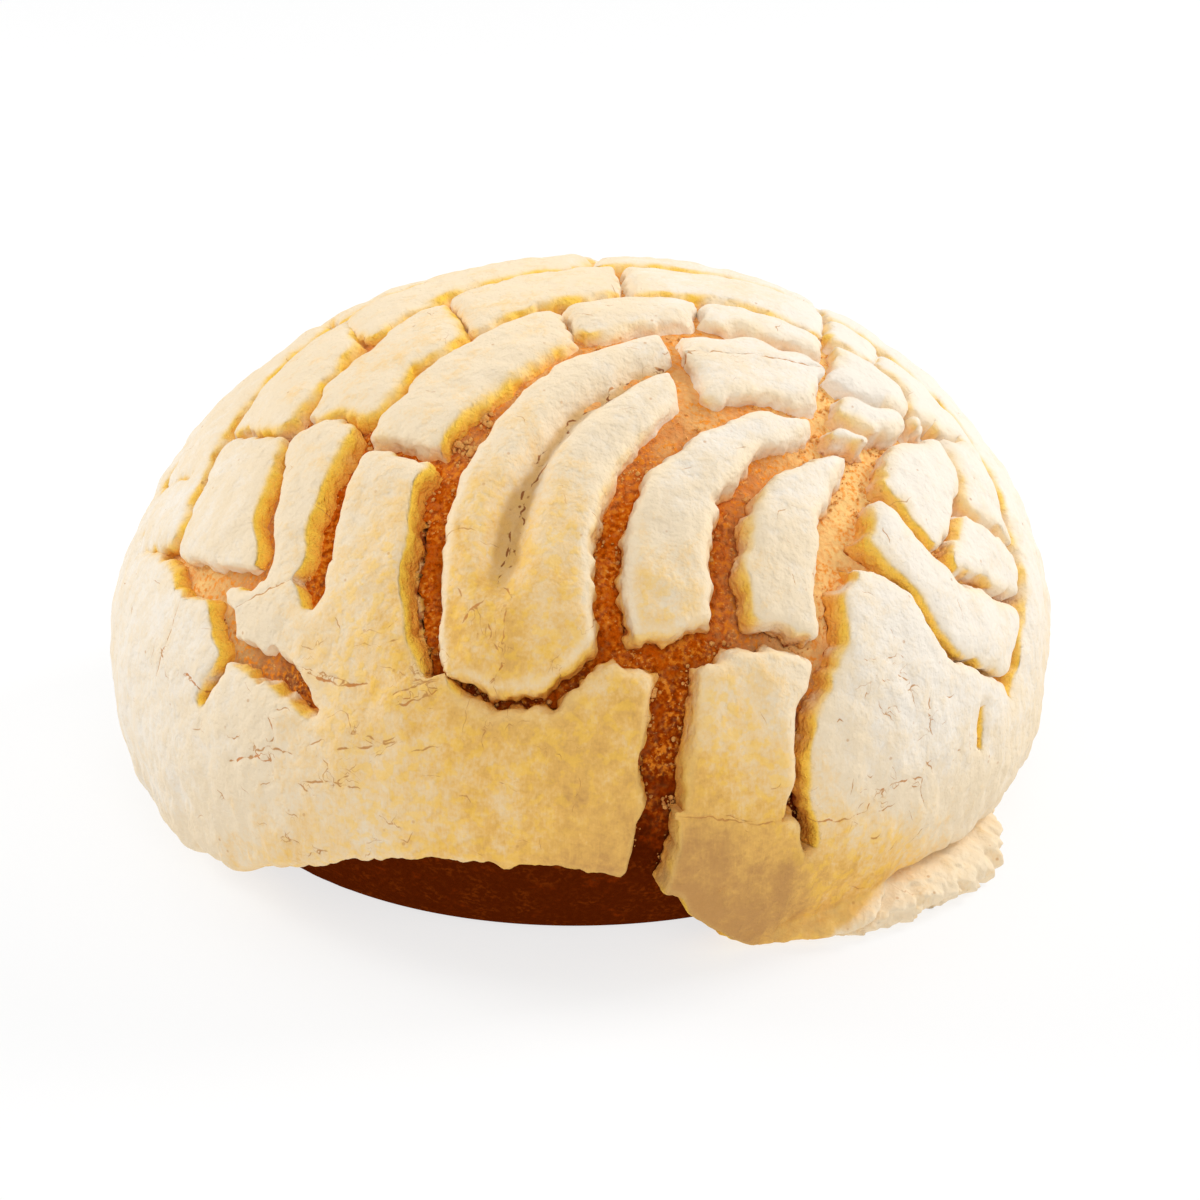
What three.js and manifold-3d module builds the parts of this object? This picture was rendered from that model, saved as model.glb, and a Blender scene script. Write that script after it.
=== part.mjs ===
// A concha: a round sweet bun under a sheet of sugar paste.
// The paste is pressed with a fan of nested ribs, and it cracks into plates as the bun rises.
//
// Millimetres, +Z up, the front towards -Y. The origin is the middle of the flat base.
//
// The sheet of paste is laid out flat first. A spot on it is (u, v): u to the right and v to the back,
// measured from the crown along the skin of the bun, so that hypot(u, v) is the distance down from it.
// A third number, depth, is 0 on the underside of the paste and 1 on its skin.
import * as THREE from "three";
import { mergeVertices } from "three/addons/utils/BufferGeometryUtils.js";
import Module from "manifold-3d";

// The bun
const WAIST_R = 60; // skin of the paste at its widest
const WAIST_Z = 19; // height of that waist above the table
const CROWN_H = 47.5; // from the waist up to the crown
const BASE_R = 45; // the bread's own flat base
const BASE_ROUND = 1.6; // rounding where the base meets the side
const TUCK = 1.6; // how late the bread's side turns in below the waist
const LEAN = 0.03; // how far the bun leans to the right for each millimetre of height
const SIDES = 30; // facets round the bun
const ROWS = 8; // facets from the crown down to the waist
const SKIRT_ROWS = 3; // and from there to the edge of the paste

// The paste
const PASTE_T = 4.3; // thickness on the dome
const SEAT = 0.5; // clearance between paste and bread
const SKIRT_R = 54.4; // skin of the skirt where it comes down to the table
const SKIRT_DROP = 103; // distance from the crown to the skirt's lowest edge
const LIFT = 13.5; // how far the edge is drawn up in front, where the bread shows
const LIFT_LEFT = [-52, -22]; // degrees from the front between which the edge rises, on the left
const LIFT_RIGHT = [5, 23]; // and between which it drops again, on the right
const SHOULDER = 1.1; // how far the top edge of a plate is worn back
const CRUMB = 12; // a crumb smaller than this volume, in cubic mm, has fallen off

// The foot: paste that ran out over the tray on the right
const FOOT_FROM = 20; // degrees round from the front
const FOOT_TO = 78;
const FOOT_R = 62; // how far out it reaches
const FOOT_H = 5;

const PASTE_COLOUR = 0xf3ddae;
const CRUST_COLOUR = 0x8a4413;

const wasm = await Module();
wasm.setup();

// ---------------------------------------------------------------- the two skins

const quarter = Math.PI / 2;
const lerp = THREE.MathUtils.lerp;
const smoothstep = THREE.MathUtils.smoothstep;

// The paste's skin in section: a quarter of an ellipse over the waist and a skirt that closes in below it.
function skinCurve() {
  const steps = 160;
  const points = [];
  for (let i = 0; i <= steps; i++) {
    const a = (quarter * i) / steps;
    points.push(new THREE.Vector2(WAIST_R * Math.sin(a), WAIST_Z + CROWN_H * Math.cos(a)));
  }
  for (let i = 1; i <= steps; i++) {
    const down = i / steps;
    points.push(
      new THREE.Vector2(WAIST_R - (WAIST_R - SKIRT_R) * down ** 2, WAIST_Z * (1 - down)),
    );
  }
  return points;
}

const skin = skinCurve();
const drops = [0];
for (let i = 1; i < skin.length; i++) drops.push(drops[i - 1] + skin[i].distanceTo(skin[i - 1]));
const WAIST_DROP = drops[(skin.length - 1) / 2];

// The skin's section at a distance down from the crown, with its outward normal.
function skinAt(drop) {
  let i = 1;
  while (i < drops.length - 1 && drops[i] < drop) i++;
  const share = (drop - drops[i - 1]) / (drops[i] - drops[i - 1]);
  const along = skin[i].clone().sub(skin[i - 1]).normalize();
  return {
    point: skin[i - 1].clone().lerp(skin[i], share),
    normal: new THREE.Vector2(-along.y, along.x),
  };
}

// The bread's radius below the waist.
function breadRadius(z) {
  const down = 1 - Math.max(z, 0) / WAIST_Z;
  const side = WAIST_R - PASTE_T - SEAT - (WAIST_R - PASTE_T - SEAT - BASE_R) * down ** TUCK;
  const round = Math.max(0, 1 - z / BASE_ROUND);
  return side - BASE_ROUND * (1 - Math.sqrt(1 - Math.min(round, 1) ** 2));
}

// The section at a distance down from the crown and a depth in the paste.
function sectionAt(drop, depth) {
  const { point, normal } = skinAt(drop);
  const under =
    drop <= WAIST_DROP
      ? point.clone().addScaledVector(normal, -PASTE_T)
      : new THREE.Vector2(breadRadius(point.y) + SEAT, point.y);
  return under.lerp(point, depth);
}

// A point of the section, turned round to the direction (x, y) and leant to the right.
function turned(section, x, y) {
  return new THREE.Vector3(section.x * x + LEAN * section.y, section.x * y, section.y);
}

// The place in space of the spot (u, v) of the sheet.
function placed(u, v, depth) {
  const drop = Math.max(Math.hypot(u, v), 1e-6);
  return turned(sectionAt(drop, depth), u / drop, v / drop);
}

// The distance from the crown to the sheet's edge, at an angle in degrees from the front, + to the right.
function edgeDrop(angle) {
  const raised =
    smoothstep(angle, LIFT_LEFT[0], LIFT_LEFT[1]) * (1 - smoothstep(angle, LIFT_RIGHT[0], LIFT_RIGHT[1]));
  const ripple = 0.5 * Math.sin((angle * Math.PI) / 19) + 0.3 * Math.sin((angle * Math.PI) / 7.3);
  return SKIRT_DROP - LIFT * raised - 0.7 + ripple;
}

// ---------------------------------------------------------------- solids

// A closed solid through rings of equally many points, with a fan of facets over each end.
function loft(rings) {
  const sides = rings[0].length;
  const points = rings.flat();
  const faces = [];
  for (let i = 0; i + 1 < rings.length; i++)
    for (let j = 0; j < sides; j++) {
      const a = i * sides + j;
      const b = i * sides + ((j + 1) % sides);
      faces.push([a, b, b + sides], [a, b + sides, a + sides]);
    }
  const last = (rings.length - 1) * sides;
  const hub = points.push(middleOf(rings[0]), middleOf(rings.at(-1))) - 2;
  for (let j = 0; j < sides; j++) {
    const next = (j + 1) % sides;
    faces.push([next, j, hub], [last + j, last + next, hub + 1]);
  }
  const geometry = new THREE.BufferGeometry().setFromPoints(points);
  geometry.setIndex(faces.flat());
  return solidOf(geometry);
}

function middleOf(ring) {
  return ring.reduce((sum, p) => sum.add(p), new THREE.Vector3()).divideScalar(ring.length);
}

// A solid of revolution about the vertical through a profile that starts and ends on the axis. Each of
// its points (radius, height, x and y of its direction) then goes where the function says.
function turnedSolid(profile, place) {
  const geometry = new THREE.LatheGeometry(profile, SIDES).rotateX(quarter);
  const position = geometry.attributes.position;
  for (let i = 0; i < position.count; i++) {
    const p = new THREE.Vector3().fromBufferAttribute(position, i);
    const radius = Math.hypot(p.x, p.y);
    const across = Math.max(radius, 1e-6);
    const to = place(radius, p.z, p.x / across, p.y / across);
    position.setXYZ(i, to.x, to.y, to.z);
  }
  return solidOf(geometry);
}

// The manifold solid of a closed geometry, with its faces outwards.
function solidOf(geometry) {
  geometry.deleteAttribute("normal");
  geometry.deleteAttribute("uv");
  const merged = mergeVertices(geometry, 1e-4);
  const triangles = [];
  for (let i = 0; i < merged.index.count; i += 3) {
    const [a, b, c] = merged.index.array.subarray(i, i + 3);
    if (a !== b && b !== c && c !== a) triangles.push(a, b, c);
  }
  const triVerts = Uint32Array.from(triangles);
  const mesh = { numProp: 3, vertProperties: merged.attributes.position.array, triVerts };
  const made = new wasm.Manifold(new wasm.Mesh(mesh));
  if (made.volume() > 0) return made;
  for (let i = 0; i < triVerts.length; i += 3)
    [triVerts[i + 1], triVerts[i + 2]] = [triVerts[i + 2], triVerts[i + 1]];
  return new wasm.Manifold(new wasm.Mesh(mesh));
}

// The geometry of a manifold solid.
function geometryOf(solid) {
  const mesh = solid.getMesh();
  const positions = [];
  for (let i = 0; i < mesh.numVert; i++)
    positions.push(...mesh.vertProperties.subarray(i * mesh.numProp, i * mesh.numProp + 3));
  const geometry = new THREE.BufferGeometry();
  geometry.setAttribute("position", new THREE.Float32BufferAttribute(positions, 3));
  geometry.setIndex(new THREE.BufferAttribute(mesh.triVerts, 1));
  geometry.computeVertexNormals();
  return geometry;
}

// ---------------------------------------------------------------- bread and paste

function breadSolid() {
  const profile = [new THREE.Vector2(0, 0)];
  for (const z of [0, 0.4 * BASE_ROUND, BASE_ROUND, 5, 10, 15])
    profile.push(new THREE.Vector2(breadRadius(z), z));
  for (let row = ROWS; row > 0; row--) {
    const { point, normal } = skinAt((WAIST_DROP * row) / ROWS);
    profile.push(point.addScaledVector(normal, -PASTE_T - SEAT));
  }
  profile.push(new THREE.Vector2(0, WAIST_Z + CROWN_H - PASTE_T - SEAT));
  return turnedSolid(profile, (r, z, x, y) => turned(new THREE.Vector2(r, z), x, y));
}

// The whole sheet of paste before it cracks: down its skin, round its edge and back up its underside.
// Its rows are even down to the waist, and from there they share out the way to the edge.
function sheetSolid() {
  const last = ROWS + SKIRT_ROWS;
  const profile = [];
  for (let row = 0; row < last; row++) profile.push(new THREE.Vector2(row, 1));
  profile.push(new THREE.Vector2(last - 0.25, 1));
  profile.push(new THREE.Vector2(last, 0.7));
  profile.push(new THREE.Vector2(last - 0.05, 0));
  for (let row = last - 1; row >= 0; row--) profile.push(new THREE.Vector2(row, 0));
  return turnedSolid(profile, (row, depth, x, y) => {
    const edge = edgeDrop(THREE.MathUtils.radToDeg(Math.atan2(x, -y)));
    const down = (row - ROWS) / SKIRT_ROWS;
    const drop = down < 0 ? (WAIST_DROP * row) / ROWS : lerp(WAIST_DROP, edge, down);
    return placed(x * drop, y * drop, depth);
  });
}

// The foot: a low lip round the right of the skirt.
function footSolid() {
  const rings = [];
  const steps = 14;
  for (let i = 0; i <= steps; i++) {
    const share = i / steps;
    const angle = THREE.MathUtils.degToRad(lerp(FOOT_FROM, FOOT_TO, share));
    const swell = Math.sin(Math.PI * share) ** 0.7;
    const out = lerp(SKIRT_R - 3, FOOT_R, swell) + 0.4 * Math.sin(i * 2.1);
    const high = FOOT_H * lerp(0.45, 1, swell) + 0.3 * Math.sin(i * 1.3);
    const section = [
      [breadRadius(BASE_ROUND) + SEAT + 0.6, 0],
      [out - 1.2, 0],
      [out, high * 0.35],
      [out - 0.8, high * 0.75],
      [out - 2.8, high],
      [breadRadius(high) + SEAT + 0.6, high],
    ];
    rings.push(
      section.map(([r, z]) => turned(new THREE.Vector2(r, z), Math.sin(angle), -Math.cos(angle))),
    );
  }
  return loft(rings);
}

// ---------------------------------------------------------------- cuts

// A cut follows a smooth line through its points [u, v, width of the gap on the bread].
// It goes right through the paste, or down to the depth floor where it is only a valley.
const STEP = 10; // between sections along a cut
const BELOW = -0.8; // depth to which a through cut reaches
const ABOVE = 1.35;

function cutSolid(points, floor = BELOW) {
  const line = new THREE.CatmullRomCurve3(
    points.map((p) => new THREE.Vector3(...p)),
    false,
    "centripetal",
  );
  const steps = Math.max(points.length - 1, Math.round(line.getLength() / STEP));
  const rings = [];
  for (let i = 0; i <= steps; i++) {
    const at = line.getPointAt(i / steps);
    const along = line.getTangentAt(i / steps).setZ(0).normalize();
    const half = Math.max(0.25, at.z / 2);
    const worn = Math.min(SHOULDER, 0.35 + 0.6 * at.z);
    const section = [
      [-0.75 * half, floor],
      [0.75 * half, floor],
      [half + worn, ABOVE],
      [-half - worn, ABOVE],
    ];
    rings.push(
      section.map(([aside, depth]) => placed(at.x - along.y * aside, at.y + along.x * aside, depth)),
    );
  }
  return loft(rings);
}

// The grooves between the ribs of the fan, innermost first. Each is an arc about its own centre [u, v],
// from its lower left end over the top to its right end. The angles are in degrees, and the widths are
// spaced evenly along it.
const GROOVES = [
  { centre: [42, -46.7], radius: 24.1, from: 207, to: 102, widths: [4, 3.4, 2.8, 2.8, 1.6, 0.9] },
  { centre: [33.3, -50.6], radius: 31, from: 199, to: 81, widths: [3, 3.2, 2.6, 2.6, 3, 1.8, 1.1, 1] },
  { centre: [26.3, -54.3], radius: 48.3, from: 190, to: 84, widths: [0.9, 2.4, 3, 2.7, 2.2, 1.3, 0.7] },
  { centre: [19.9, -57.1], radius: 58.7, from: 171, to: 66, widths: [0.6, 2, 2, 1.4, 0.9, 0.7, 0.7, 0.8] },
  { centre: [14, -45], radius: 59.6, from: 174, to: 8, widths: [0.8, 1.8, 2, 1.2, 0.7, 0.7, 0.8, 0.9, 1] },
  { centre: [11.6, -48.7], radius: 75.6, from: 159, to: 32, widths: [1.2, 1.4, 0.9, 0.8, 0.8, 0.8] },
];

// The third groove is only a valley. It doesn't reach the bread.
const VALLEY = {
  centre: [34.5, -56.4],
  radius: 45.9,
  from: 180,
  to: 94,
  widths: [0.8, 3, 3.4, 2.2, 1.2, 0.8, 0.4, 0.4],
};
const VALLEY_FLOOR = 0.42;

// Behind the crown the grooves go on at an even pitch, and cracks cross each band a little further round.
const FAR_CENTRE = [10, -50];
const FAR_PITCH = 14;
const FAR_RADII = [89, 89 + FAR_PITCH, 89 + 2 * FAR_PITCH];
const FAR_CRACKS = [
  [66, 96, 124],
  [78, 110, 138],
  [70, 92, 117],
]; // degrees round the far centre, for each band

function arcSpot([u, v], radius, degrees, width) {
  const a = THREE.MathUtils.degToRad(degrees);
  return [u + radius * Math.cos(a), v + radius * Math.sin(a), width];
}

function groovePoints({ centre, radius, from, to, widths }) {
  return widths.map((width, i) => arcSpot(centre, radius, lerp(from, to, i / (widths.length - 1)), width));
}

function farCuts() {
  return FAR_RADII.flatMap((radius, k) => {
    const widths = [0.8, 1.2, 0.8, 1, 1.3, 0.9];
    const groove = { centre: FAR_CENTRE, radius, from: 48 + 9 * k, to: 151 - 15 * k, widths };
    const across = FAR_CRACKS[k].map((degrees) => [
      arcSpot(FAR_CENTRE, radius - FAR_PITCH + 1, degrees + 1.2, 0.8),
      arcSpot(FAR_CENTRE, radius - FAR_PITCH / 2, degrees - 0.8, 1.1),
      arcSpot(FAR_CENTRE, radius, degrees, 0.9),
    ]);
    return [groovePoints(groove), ...across];
  });
}

// The cracks that the rising bun tore across the ribs.
const CROWN_CRACKS = [
  [[9, -8, 0.8], [10.6, -16, 1.5], [13.6, -26, 2.4]],
  [[31.5, 27, 0.7], [30.8, 0, 1], [31.3, -12, 1.3], [29.6, -26, 1.2]],
  [[14.4, 2.5, 0.5], [13, -8.5, 0.5]],
  [[-5, -3, 1.2], [-0.6, -16, 1]],
  [[-29.5, -26, 0.7], [-18, -33, 1.1]],
  [[3.6, 15.5, 0.7], [5, -0.5, 0.7]],
  [[-19, 6.5, 0.7], [-14.6, -11, 1]],
  [[-39.5, -17, 2], [-34.5, -16.5, 1.5], [-27.5, -24.5, 1.8]],
  [[-49, -7, 1.6], [-44, -13.6, 0.8], [-39, -17.6, 2.2]],
  [[-32, 10, 0.6], [-28.5, -5, 1]],
  [[1, 27, 0.8], [0.4, 20, 1.5], [-2, 12.4, 1.3]],
  [[-56, -8.4, 0.9], [-68, 8, 0.8]],
];

// The cracks between the small plates on the right.
const RIGHT_CRACKS = [
  [[31, -13, 1], [38, -12.3, 0.8], [48, -6, 1]],
  [[39.6, 11, 0.7], [38.2, -0.5, 0.8]],
  [[43, -2, 0.8], [42, -15, 1]],
  [[53, -3.5, 1.2], [45, -12.4, 2.4], [38.4, -21, 2.6], [35.6, -30, 4]],
  [[48, -9, 1.4], [53.4, -21, 1], [48, -34.5, 1.2]],
  [[53.4, -20.6, 1], [58, -17.2, 1.4], [67, -15, 1.2]],
  [[36.5, -28, 2.6], [44, -31.2, 1.2], [50, -33.6, 1.3], [58, -30.4, 1.3], [68, -23, 1.2]],
  [[35, -39.6, 3], [43.4, -41, 1.8], [57, -44.2, 0.9], [73, -33.5, 0.8]],
  [[65.5, -43.5, 1.2], [67.4, -46.6, 1.6], [69.8, -48.4, 0.8]],
];

// The wide tears down the front, where the bread shows most.
const FRONT_CRACKS = [
  [[36, -29, 4], [34, -37, 5.4], [33.3, -50, 2.4], [35, -60, 2.2], [32.4, -69, 2], [42.6, -79.8, 0.9]],
  [[12.7, -61.5, 4.6], [12.8, -74, 5.6], [13.2, -83, 5.4], [10, -99.5, 10.5]],
  [[19, -57.5, 3.4], [26, -56, 1.1], [34.5, -56, 1.6]],
  [[-20.5, -61.5, 0.9], [-14, -67, 0.8], [-5.8, -67.8, 1], [0.6, -61.8, 1.4], [10, -62, 3], [19.4, -57.5, 3.4]],
  [[15, -80.2, 0.9], [29, -79, 0.5], [37, -75.4, 0.8]],
];

// The tears between the skirt and the ribs on the left, and the slits that split off them.
const LEFT_CRACKS = [
  [[-70, -7, 0.7], [-61, -21, 2.4], [-56, -31.5, 3.2], [-46, -38.4, 0.9]],
  [[-53.6, -34.6, 1.6], [-51.6, -47, 1.5]],
  [[-61.5, -47, 1], [-53, -45.4, 1.6], [-45, -53.6, 1.6], [-40, -61.4, 0.5]],
  [[-69, -36.3, 0.5], [-59, -32, 1]],
  [[-49.6, -41.2, 0.6], [-37.4, -43, 1.6]],
  [[-41.4, -53.8, 0.8], [-33, -60, 0.6]],
  [[-28.4, -63.2, 0.5], [-19.6, -62.4, 0.7]],
];

// The skirt behind, split by slits that run up from its edge and peter out, or that reach the last rib.
const SKIRT_SLITS = [
  { angle: 118, top: 66, width: 1.6 },
  { angle: 163, top: 80, width: 1.2 },
  { angle: 201, top: 64, width: 2 },
  { angle: 244, top: 82, width: 1.1 },
];

function slitPoints({ angle, top, width }) {
  const points = [];
  for (let i = 0; i <= 4; i++) {
    const drop = lerp(top, SKIRT_DROP + 3, i / 4);
    const a = THREE.MathUtils.degToRad(angle + 2.2 * Math.sin(i * 1.9 + angle));
    points.push([drop * Math.sin(a), -drop * Math.cos(a), width * lerp(0.5, 1.3, i / 4)]);
  }
  return points;
}

// ---------------------------------------------------------------- the model

function plateSolids() {
  let paste = sheetSolid().add(footSolid());
  const cuts = [
    ...GROOVES.map(groovePoints),
    ...farCuts(),
    ...CROWN_CRACKS,
    ...RIGHT_CRACKS,
    ...FRONT_CRACKS,
    ...LEFT_CRACKS,
    ...SKIRT_SLITS.map(slitPoints),
  ];
  for (const points of cuts) paste = paste.subtract(cutSolid(points));
  paste = paste.subtract(cutSolid(groovePoints(VALLEY), VALLEY_FLOOR));
  return paste.decompose().filter((plate) => plate.volume() > CRUMB);
}

const bread = new THREE.MeshStandardMaterial({ color: CRUST_COLOUR, roughness: 0.45 });
const paste = new THREE.MeshStandardMaterial({ color: PASTE_COLOUR, roughness: 0.85 });

const concha = new THREE.Group();
const bun = new THREE.Mesh(geometryOf(breadSolid()), bread);
bun.name = "bun";
concha.add(bun);

// The plates are numbered from the largest, which is the skirt, to the smallest.
plateSolids()
  .sort((a, b) => b.volume() - a.volume())
  .forEach((solid, i) => {
    const plate = new THREE.Mesh(geometryOf(solid), paste);
    plate.name = "topping_plate_" + String(i + 1).padStart(2, "0");
    concha.add(plate);
  });

export default concha;
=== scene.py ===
"""A concha: a round sweet bun under cracked plates of sugar paste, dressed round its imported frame.

Lengths are in millimetres until a mesh is made, and Blender's own scene is in metres.
"""

import logging
import math
from dataclasses import dataclass, field
from enum import Enum
from typing import Any

import bmesh
import bpy
import numpy as np
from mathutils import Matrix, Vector


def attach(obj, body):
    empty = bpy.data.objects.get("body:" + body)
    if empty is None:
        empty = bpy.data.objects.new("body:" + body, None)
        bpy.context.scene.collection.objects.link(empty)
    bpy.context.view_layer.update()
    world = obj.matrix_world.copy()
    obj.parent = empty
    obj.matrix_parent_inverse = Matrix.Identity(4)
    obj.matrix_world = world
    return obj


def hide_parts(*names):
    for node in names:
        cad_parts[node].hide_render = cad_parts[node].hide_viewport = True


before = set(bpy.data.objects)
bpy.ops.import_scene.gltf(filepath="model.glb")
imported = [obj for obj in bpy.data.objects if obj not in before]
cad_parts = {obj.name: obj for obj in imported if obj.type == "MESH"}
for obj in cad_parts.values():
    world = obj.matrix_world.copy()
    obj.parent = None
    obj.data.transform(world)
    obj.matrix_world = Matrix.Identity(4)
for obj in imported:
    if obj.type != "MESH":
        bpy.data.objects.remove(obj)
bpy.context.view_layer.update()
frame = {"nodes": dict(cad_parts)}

log = logging.getLogger("concha")
MM = 0.001
Colour = tuple[float, float, float, float]


def smoothstep(low: float, high: float, value: np.ndarray) -> np.ndarray:
    """0 below low, 1 above high and smooth between. Low may be the larger one."""
    t = np.clip((value - low) / (high - low), 0.0, 1.0)
    return t * t * (3.0 - 2.0 * t)


def unit(vectors: np.ndarray) -> np.ndarray:
    """The vectors at length 1, row by row."""
    return vectors / np.maximum(np.linalg.norm(vectors, axis=1, keepdims=True), 1e-9)


def across(rows: np.ndarray) -> np.ndarray:
    """The length of each row's first two numbers, without its height."""
    return np.hypot(rows[:, 0], rows[:, 1])


class Grain:
    """Seeded gradient noise in three dimensions."""

    primes = (73856093, 19349663, 83492791)
    mixer = 2654435761
    gain = 1.6
    scatter = 0.42
    lump_reach = 0.45

    def __init__(self, seed: int) -> None:
        """Draws the table of gradients.

        Args:
            seed: picks one field among many.
        """
        self.seed = seed
        self.gradients = unit(np.random.default_rng(seed).normal(size=(256, 3)))

    def _hashed(self, cell: np.ndarray) -> np.ndarray:
        """Picks a gradient for each lattice point.

        Args:
            cell: rows of three whole numbers.

        Returns:
            Each point's place in the table of gradients.
        """
        a, b, c = (cell[:, axis] * prime for axis, prime in enumerate(self.primes))
        mixed = a ^ b ^ c
        mixed = (mixed ^ (mixed >> 11)) * self.mixer + self.seed * 97
        return (mixed >> 9) & 255

    def at(self, points: np.ndarray, size: float) -> np.ndarray:
        """Noise of about -1 to 1 whose lumps measure about the given size.

        Args:
            points: rows of x, y, z.
            size: the spacing of the lattice, in the points' unit.

        Returns:
            One value for each point.
        """
        scaled = points / size
        base = np.floor(scaled).astype(np.int64)
        part = scaled - base
        ease = part * part * part * (part * (part * 6.0 - 15.0) + 10.0)
        total = np.zeros(len(points))
        for corner in np.ndindex(2, 2, 2):
            step = np.array(corner)
            weight = np.prod(np.where(step == 1, ease, 1.0 - ease), axis=1)
            slope = self.gradients[self._hashed(base + step)]
            total += weight * np.einsum("ij,ij->i", slope, part - step)
        return total * self.gain

    def layered(self, points: np.ndarray, *layers: tuple[float, float]) -> np.ndarray:
        """Noise of several sizes, one over the other.

        Args:
            points: rows of x, y, z.
            layers: the size of each layer's lumps, and how much it counts.

        Returns:
            One value for each point.
        """
        total = np.zeros(len(points))
        for size, share in layers:
            total += self.at(points, size) * share
        return total

    def lumps(self, flat: np.ndarray, size: float) -> np.ndarray:
        """Rounded lumps with creases between them, as in crumbling dough.

        Args:
            flat: rows of u, v.
            size: the usual width of a lump.

        Returns:
            1 at the middle of a lump and 0 or less in the creases round it.
        """
        scaled = flat / size
        base = np.floor(scaled).astype(np.int64)
        nearest = np.full(len(flat), 9.0)
        for side in np.ndindex(3, 3):
            cell = base + np.array(side) - 1
            place = self._hashed(np.c_[cell, np.zeros(len(cell), dtype=np.int64)])
            middle = cell + 0.5 + self.scatter * self.gradients[place, :2]
            nearest = np.minimum(nearest, np.sum((scaled - middle) ** 2, axis=1))
        return 1.0 - nearest / self.lump_reach


@dataclass(frozen=True)
class Dome:
    """The skin that the paste follows, and the flat sheet that it unrolls to.

    A spot on the sheet is (u, v, w): u to the right and v to the back, measured from the crown along the
    skin, and w the height over the underside of the paste, which is 0 to paste.
    """

    waist_r: float = 60.0
    waist_z: float = 19.0
    crown_h: float = 47.5
    base_r: float = 45.0
    base_round: float = 1.6
    tuck: float = 1.6
    lean: float = 0.03
    paste: float = 4.3
    seat: float = 0.5
    skirt_r: float = 54.4
    steps: int = 600
    rounds: int = 12

    def _upper(self) -> tuple[np.ndarray, np.ndarray]:
        """Measures the skin from the crown to the waist.

        Returns:
            The angles along it, and the distance down to each.
        """
        a = np.linspace(0.0, math.pi / 2, self.steps)
        r, z = self.waist_r * np.sin(a), self.crown_h * np.cos(a)
        return a, np.r_[0.0, np.cumsum(np.hypot(np.diff(r), np.diff(z)))]

    def _lower(self) -> tuple[np.ndarray, np.ndarray]:
        """Measures the skin from the waist to the table.

        Returns:
            The heights along it, and the distance down to each.
        """
        down = np.linspace(0.0, 1.0, self.steps)
        r = self.waist_r - (self.waist_r - self.skirt_r) * down**2
        z = self.waist_z * (1.0 - down)
        run = np.r_[0.0, np.cumsum(np.hypot(np.diff(r), np.diff(z)))]
        return z, run + self._upper()[1][-1]

    def skin_radius(self, z: np.ndarray) -> np.ndarray:
        """The radius of the paste's skin below the waist."""
        return self.waist_r - (self.waist_r - self.skirt_r) * (1.0 - z / self.waist_z) ** 2

    def bread_radius(self, z: np.ndarray) -> np.ndarray:
        """The radius of the bread below the waist, with its base rounded off.

        Args:
            z: heights over the table.

        Returns:
            The radius at each height.
        """
        widest = self.waist_r - self.paste - self.seat
        down = 1.0 - np.clip(z, 0.0, self.waist_z) / self.waist_z
        corner = np.clip(1.0 - z / self.base_round, 0.0, 1.0)
        side = widest - (widest - self.base_r) * down**self.tuck
        return side - self.base_round * (1.0 - np.sqrt(1.0 - corner**2))

    def flatten(self, points: np.ndarray) -> np.ndarray:
        """Unrolls points of the dome.

        Args:
            points: rows of x, y, z.

        Returns:
            Rows of u, v, w.
        """
        x = points[:, 0] - self.lean * points[:, 2]
        y, z = points[:, 1], points[:, 2]
        r = np.hypot(x, y)
        rise = np.maximum(z - self.waist_z, 0.0)
        big, high = self.waist_r, self.crown_h
        a = np.arctan2(r / big, rise / high)
        for _ in range(self.rounds):
            sin, cos = np.sin(a), np.cos(a)
            miss = r * big * cos - rise * high * sin - (big**2 - high**2) * sin * cos
            slope = -r * big * sin - rise * high * cos - (big**2 - high**2) * np.cos(2.0 * a)
            a = np.clip(a - miss / slope, 0.0, math.pi / 2)
        sin, cos = np.sin(a), np.cos(a)
        out = (r - big * sin) * high * sin + (rise - high * cos) * big * cos
        out /= np.hypot(high * sin, big * cos)
        angles, runs = self._upper()
        drop, w = np.interp(a, angles, runs), self.paste + out
        heights, lower_runs = self._lower()
        low = z < self.waist_z
        drop[low] = np.interp(-z[low], -heights, lower_runs)
        under = self.bread_radius(z[low]) + self.seat
        w[low] = self.paste * (r[low] - under) / (self.skin_radius(z[low]) - under)
        far = np.maximum(r, 1e-6)
        return np.c_[drop * x / far, drop * y / far, w]

    def bend(self, sheet: np.ndarray) -> np.ndarray:
        """Lays the flat sheet over the dome.

        Args:
            sheet: rows of u, v, w.

        Returns:
            Rows of x, y, z.
        """
        drop, w = across(sheet), sheet[:, 2]
        angles, runs = self._upper()
        a = np.interp(drop, runs, angles)
        sin, cos = np.sin(a), np.cos(a)
        length = np.hypot(self.crown_h * sin, self.waist_r * cos)
        r = self.waist_r * sin + (w - self.paste) * self.crown_h * sin / length
        z = self.waist_z + self.crown_h * cos + (w - self.paste) * self.waist_r * cos / length
        heights, lower_runs = self._lower()
        low = drop > runs[-1]
        z[low] = np.interp(drop[low], lower_runs, heights)
        under = self.bread_radius(z[low]) + self.seat
        r[low] = under + (self.skin_radius(z[low]) - under) * w[low] / self.paste
        far = np.maximum(drop, 1e-6)
        return np.c_[r * sheet[:, 0] / far + self.lean * z, r * sheet[:, 1] / far, z]


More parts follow.
